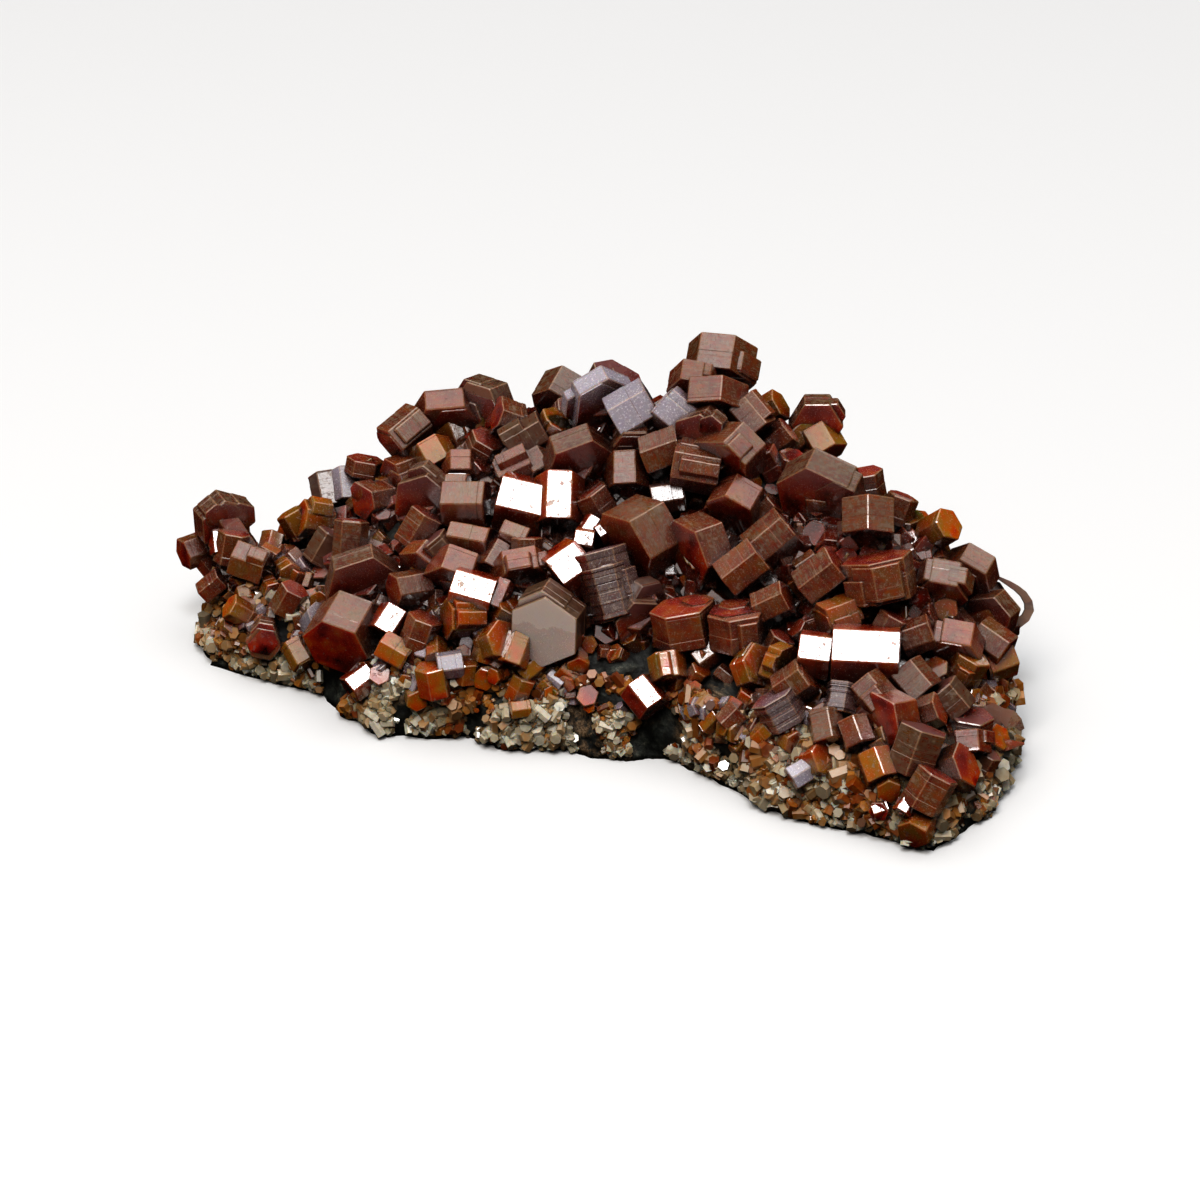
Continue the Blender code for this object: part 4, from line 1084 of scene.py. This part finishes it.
# The far side. The photo doesn't show it, so smaller crystals are strewn there by rule,
# in three clusters on otherwise bare rock.
BACK_CLUSTERS = {
    "back_left_cluster": (-20.0, 12.5, 9.0, 5.5),
    "back_middle_cluster": (2.0, 17.5, 9.0, 4.0),
    "back_right_cluster": (22.0, 15.0, 9.0, 4.0),
}
BACK_SEED = 41
BACK_LOOKS_SEED = 7
BACK_COUNT = 5
BACK_WIDTHS = (4.0, 6.4)
BACK_LENGTHS = (0.5, 1.0)
BACK_RIM_SHARE = 0.9
BACK_UPRIGHT = 0.5
BACK_LIFT = 0.8
for order, (name, (x, y, reach_x, reach_y)) in enumerate(BACK_CLUSTERS.items()):
    random = np.random.default_rng(BACK_SEED + order)
    growth = Growth()
    looks = np.random.default_rng(BACK_LOOKS_SEED + order)
    for _ in range(BACK_COUNT):
        spot_x = x + random.uniform(-reach_x, reach_x)
        spot_y = y + random.uniform(-reach_y, reach_y)
        above = Vector((spot_x, spot_y, rock_height(spot_x, spot_y, BACK_RIM_SHARE)))
        foot, normal, _, _ = rock_tree.find_nearest(above)
        width = random.uniform(*BACK_WIDTHS)
        length = width * random.uniform(*BACK_LENGTHS)
        lean = Vector(random.normal(size=3)).normalized()
        main = (normal * BACK_UPRIGHT + lean).normalized()
        face = main.orthogonal().normalized()
        axes = Matrix((face, main.cross(face), main)).transposed()
        look = (BROWN, AMBER, RED)[looks.integers(3)]
        growth.add_crystal(looks, foot + normal * BACK_LIFT, axes, width, length, look)
    made = growth.finish(name + "_crystals", CRYSTAL_SURFACE)
    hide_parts(name)

# Small crystals. Between the large ones the rock is crowded with brown and amber crystals
# one to three millimetres across, standing at every angle.
SMALL_SEED = 12
SMALL_COUNT = 3400
SMALL_WIDTHS = (1.0, 3.0)
SMALL_LENGTHS = (0.55, 1.1)
SMALL_UPRIGHT = 0.5
MOST_LIFT = 0.42
LEAST_SEEN = -0.15
BARE_BACK = 9.0
BARE_FOOT = 5.0
FRONT_TOP = 9.5
FRONT_LOOKS = (AMBER, AMBER, BROWN, AMBER, FROST)
# Higher up, among the large crystals, most small ones take the black-red DARK look as painted
# shade.
HIGH_LOOKS = (DARK, AMBER, BROWN, DARK, DARK)
HOLLOW_ACROSS = (-1.0, 16.0)
HOLLOW_UP = (-10.0, -4.0)
HOLLOW_BARE = 0.75


def random_axes(random, normal, upright):
    """Random axes for a crystal, the main one drawn toward the rock's normal by upright."""
    lean = Vector(random.normal(size=3)).normalized()
    main = (normal * upright + lean).normalized()
    face = Matrix.Rotation(random.uniform(0, math.pi / 3), 3, main) @ main.orthogonal().normalized()
    return Matrix((face, main.cross(face), main)).transposed()


def spots_on_rock(random, count):
    """Seeded points on the rock, by area, with the surface's normal."""
    rock_mesh.calc_loop_triangles()
    corners = np.empty(len(rock_mesh.vertices) * 3, np.float32)
    rock_mesh.vertices.foreach_get("co", corners)
    corners = corners.reshape(-1, 3) / MM - np.array(CENTRE_SHIFT)
    triangles = np.empty(len(rock_mesh.loop_triangles) * 3, np.int32)
    rock_mesh.loop_triangles.foreach_get("vertices", triangles)
    a, b, c = (corners[triangles.reshape(-1, 3)[:, k]] for k in range(3))
    cross = np.cross(b - a, c - a)
    area = np.linalg.norm(cross, axis=1)
    area[cross[:, 2] < -0.9 * area] = 0.0
    chosen = random.choice(len(area), count, p=area / area.sum())
    u, v = np.sort(random.uniform(size=(2, count)), axis=0)[:, :, None]
    places = a[chosen] * u + b[chosen] * (v - u) + c[chosen] * (1 - v)
    return [
        (Vector(place), Vector(normal))
        for place, normal in zip(places, cross[chosen] / area[chosen, None])
    ]


random = np.random.default_rng(SMALL_SEED)
halves = {"small_crystals_left": Growth(), "small_crystals_right": Growth()}
for place, normal in spots_on_rock(random, SMALL_COUNT):
    if (
        normal.dot(TO_VIEWER) < LEAST_SEEN
        or place.y > BARE_BACK + random.uniform(-3, 3)
        or place.z < BARE_FOOT + random.uniform(-1, 1)
    ):
        continue
    across, up = (place - SHOW_TARGET).dot(VIEW_RIGHT), (place - SHOW_TARGET).dot(VIEW_UP)
    in_hollow = HOLLOW_ACROSS[0] < across < HOLLOW_ACROSS[1] and HOLLOW_UP[0] < up < HOLLOW_UP[1]
    if in_hollow and random.uniform() < HOLLOW_BARE:
        continue
    width = random.uniform(*SMALL_WIDTHS)
    look = (FRONT_LOOKS if place.z < FRONT_TOP else HIGH_LOOKS)[random.integers(5)]
    axes = random_axes(random, normal, SMALL_UPRIGHT)
    length = width * random.uniform(*SMALL_LENGTHS)
    lift = random.uniform(0.0, MOST_LIFT) * min(width, length)
    growth = halves["small_crystals_left" if place.x < 0 else "small_crystals_right"]
    growth.add_crystal(random, place + normal * lift, axes, width, length, look)
for name, growth in halves.items():
    small = growth.finish(name, CRYSTAL_SURFACE)
    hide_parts("matrix")

# Druse. The rock's front foot is crusted with honey and tan crystals about a millimetre
# across, heaped in clumps and missing where dark rock shows.
DRUSE_SEED = 3
DRUSE_TRIES = 52000
DRUSE_WIDTHS = (0.4, 1.5)
DRUSE_HALF_LENGTHS = (0.3, 0.8)
DRUSE_LIFT = 0.85
DRUSE_TOP = 7.5
DRUSE_UPRIGHT = 0.6
DRUSE_LEAST_SEEN = -0.3
CLUMP_SIZE = 4.0
CLUMP_SHIFT = Vector((3, 1, 0))
CLUMP_EDGE = -0.12
HONEY_SIZE = 5.0
PALE_FOOT = 0.45
PALE_FADE = 0.09
CORNER_START = 18.0
CORNER_FADE = 8.0
CORNER_GAIN = 0.4


def druse_material():
    """Dull tan and honey grains, a few of them clear amber and glossy enough to glint."""
    made, tree, shader = new_material("druse_looks")
    add = partial(add_node, tree)
    local = add("Attribute", attribute_name="local", output="Vector")
    look = add("Attribute", attribute_name="look", output="Vector")
    tone, dark, dullness = add("SeparateXYZ", look, output=None).outputs
    speck = add("TexNoise", {"Vector": local, "Scale": 2.2, "Detail": 3.0, "Roughness": 0.6})
    shade = add("Math", speck, 0.5, operation="SUBTRACT")
    shade = add("Math", shade, 0.5, tone, operation="MULTIPLY_ADD")
    grains = add("ValToRGB", shade, stops=[
        (0.0, "#8c3e0a"), (0.3, "#b87c34"), (0.55, "#b8a07c"), (0.8, "#cabfa6"), (1.0, "#efe8d6"),
    ])
    # Painted shade: the hollows among the grains are darkened to near black.
    open_sky = add("AmbientOcclusion", {"Distance": 1.6 * MM}, samples=2, output="AO")
    unshaded = add("MapRange", open_sky, 0.1, 0.5, interpolation_type="SMOOTHSTEP")
    grains = add("Mix", {0: unshaded, 6: "#0a0704", 7: grains}, data_type="RGBA", output=2)
    grains = add("Mix", {0: dark, 6: grains, 7: "#1c150e"}, data_type="RGBA", output=2)
    tree.links.new(grains, shader.inputs["Base Color"])
    shader.inputs["IOR"].default_value = VANADINITE_IOR
    rough = add("Math", dullness, 0.5, 0.06, operation="MULTIPLY_ADD")
    tree.links.new(rough, shader.inputs["Roughness"])
    shader.inputs["Subsurface Weight"].default_value = 0.6
    shader.inputs["Subsurface Radius"].default_value = (1.0, 0.6, 0.3)
    shader.inputs["Subsurface Scale"].default_value = 0.3 * MM
    return made


random = np.random.default_rng(DRUSE_SEED)
growth = Growth()
noise.seed_set(LUMP_SEED)
for place, normal in spots_on_rock(random, DRUSE_TRIES):
    clump = noise.noise(place / CLUMP_SIZE + CLUMP_SHIFT)
    clump += CORNER_GAIN * min(1.0, max(0.0, (place.x - CORNER_START) / CORNER_FADE))
    if (
        place.z > DRUSE_TOP
        or normal.dot(TO_VIEWER) < DRUSE_LEAST_SEEN
        or clump < CLUMP_EDGE + 0.1 * random.uniform(-1, 1)
    ):
        continue
    width = random.uniform(*DRUSE_WIDTHS) * (0.6 + 0.6 * min(1.0, max(0.0, clump + 0.3)))
    axes = random_axes(random, normal, DRUSE_UPRIGHT)
    half = width * random.uniform(*DRUSE_HALF_LENGTHS)
    centre = place + normal * random.uniform(0.0, DRUSE_LIFT) * half
    if centre.z < math.hypot(width / 2, half):
        continue
    sides = np.full(6, width / 2 * math.cos(math.pi / 6)) * random.uniform(0.8, 1, 6)
    corners = hexagon(sides, 0)
    rings = [np.column_stack([corners, np.full(6, height)]) for height in (-half, half)]
    patch = noise.noise(place / HONEY_SIZE) + 0.4 * random.uniform(-1, 1)
    honey = patch > PALE_FOOT - place.z * PALE_FADE
    tone = random.uniform(0.0, 0.45) if honey else random.uniform(0.4, 1.0)
    size = (sides.mean(), half, random.uniform(0, 90))
    growth.add(rings, centre, axes, size, (tone, 0.7 * random.uniform() ** 3, random.uniform()))
druse = growth.finish("druse", druse_material())
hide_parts("matrix")

# Floor, light and camera. A pale table that no crystal mirrors, a window above the viewer,
# a broader light that only dull faces show, a dim glow overhead, and the camera where the
# photo was taken from.
WINDOW_FROM = (32.0, 68.0)
WINDOW_SIZE = 0.22
WINDOW_RADIANCE = 12.0
OVERHEAD_FROM = (14.0, 52.0)
OVERHEAD_SIZE = 0.36
OVERHEAD_RADIANCE = 8.4
LIGHT_DISTANCE = 0.9
GLOW_FROM = (32.0, 86.0)
FLOOR_SIZE = 6.0
LENS_LENGTH = 135.0
SENSOR_WIDTH = 36.0
bpy.ops.mesh.primitive_plane_add(size=FLOOR_SIZE, location=(0.0, 0.0, 0.0))
floor = bpy.context.object
floor.name = "floor"
floor_surface, tree, shader = new_material("floor_paper")
shader.inputs["Base Color"].default_value = colour("#eceff3")
shader.inputs["Roughness"].default_value = 0.9
floor.data.materials.append(floor_surface)
floor.visible_glossy = False
floor.visible_diffuse = False

target = (SHOW_TARGET + CENTRE_SHIFT) * MM


def soft_light(name, way, size, radiance, tint):
    """A flat square light of this size in metres and this radiance that faces the specimen."""
    lamp = bpy.data.lights.new(name, "AREA")
    lamp.shape, lamp.size = "SQUARE", size
    lamp.energy = radiance * math.pi * size * size
    lamp.color = colour(tint)[:3]
    made = bpy.data.objects.new(name, lamp)
    made.location = target + way * LIGHT_DISTANCE
    made.rotation_mode = "QUATERNION"
    made.rotation_quaternion = way.to_track_quat("Z", "Y")
    bpy.context.scene.collection.objects.link(made)
    return made


soft_light("window", direction(*WINDOW_FROM), WINDOW_SIZE, WINDOW_RADIANCE, "#ffffff")
overhead = soft_light(
    "overhead", direction(*OVERHEAD_FROM), OVERHEAD_SIZE, OVERHEAD_RADIANCE, "#fff5ea"
)
overhead.visible_glossy = False

world = bpy.data.worlds.new("studio_glow")
world.use_nodes = True
bpy.context.scene.world = world
tree = world.node_tree
toward = add_node(tree, "TexCoord", output="Generated")
facing_glow = add_node(
    tree, "VectorMath", toward, direction(*GLOW_FROM), operation="DOT_PRODUCT", output="Value"
)
glow = add_node(tree, "MapRange", facing_glow, 0.50, 0.92, interpolation_type="SMOOTHSTEP")
strength = add_node(tree, "Math", glow, 1.1, 0.004, operation="MULTIPLY_ADD")
background = tree.nodes["Background"]
background.inputs["Color"].default_value = colour("#fdfaf6")
tree.links.new(strength, background.inputs["Strength"])

lens = bpy.data.cameras.new("camera")
lens.lens, lens.sensor_width = LENS_LENGTH, SENSOR_WIDTH
lens.clip_start, lens.clip_end = 0.01, 20.0
camera = bpy.data.objects.new("camera", lens)
camera.location = (EYE + CENTRE_SHIFT) * MM
camera.rotation_mode = "QUATERNION"
camera.rotation_quaternion = TO_VIEWER.to_track_quat("Z", "Y")
bpy.context.scene.collection.objects.link(camera)
bpy.context.scene.camera = camera
bpy.context.scene.view_settings.view_transform = "Standard"
bpy.context.scene.view_settings.look = "Medium High Contrast"
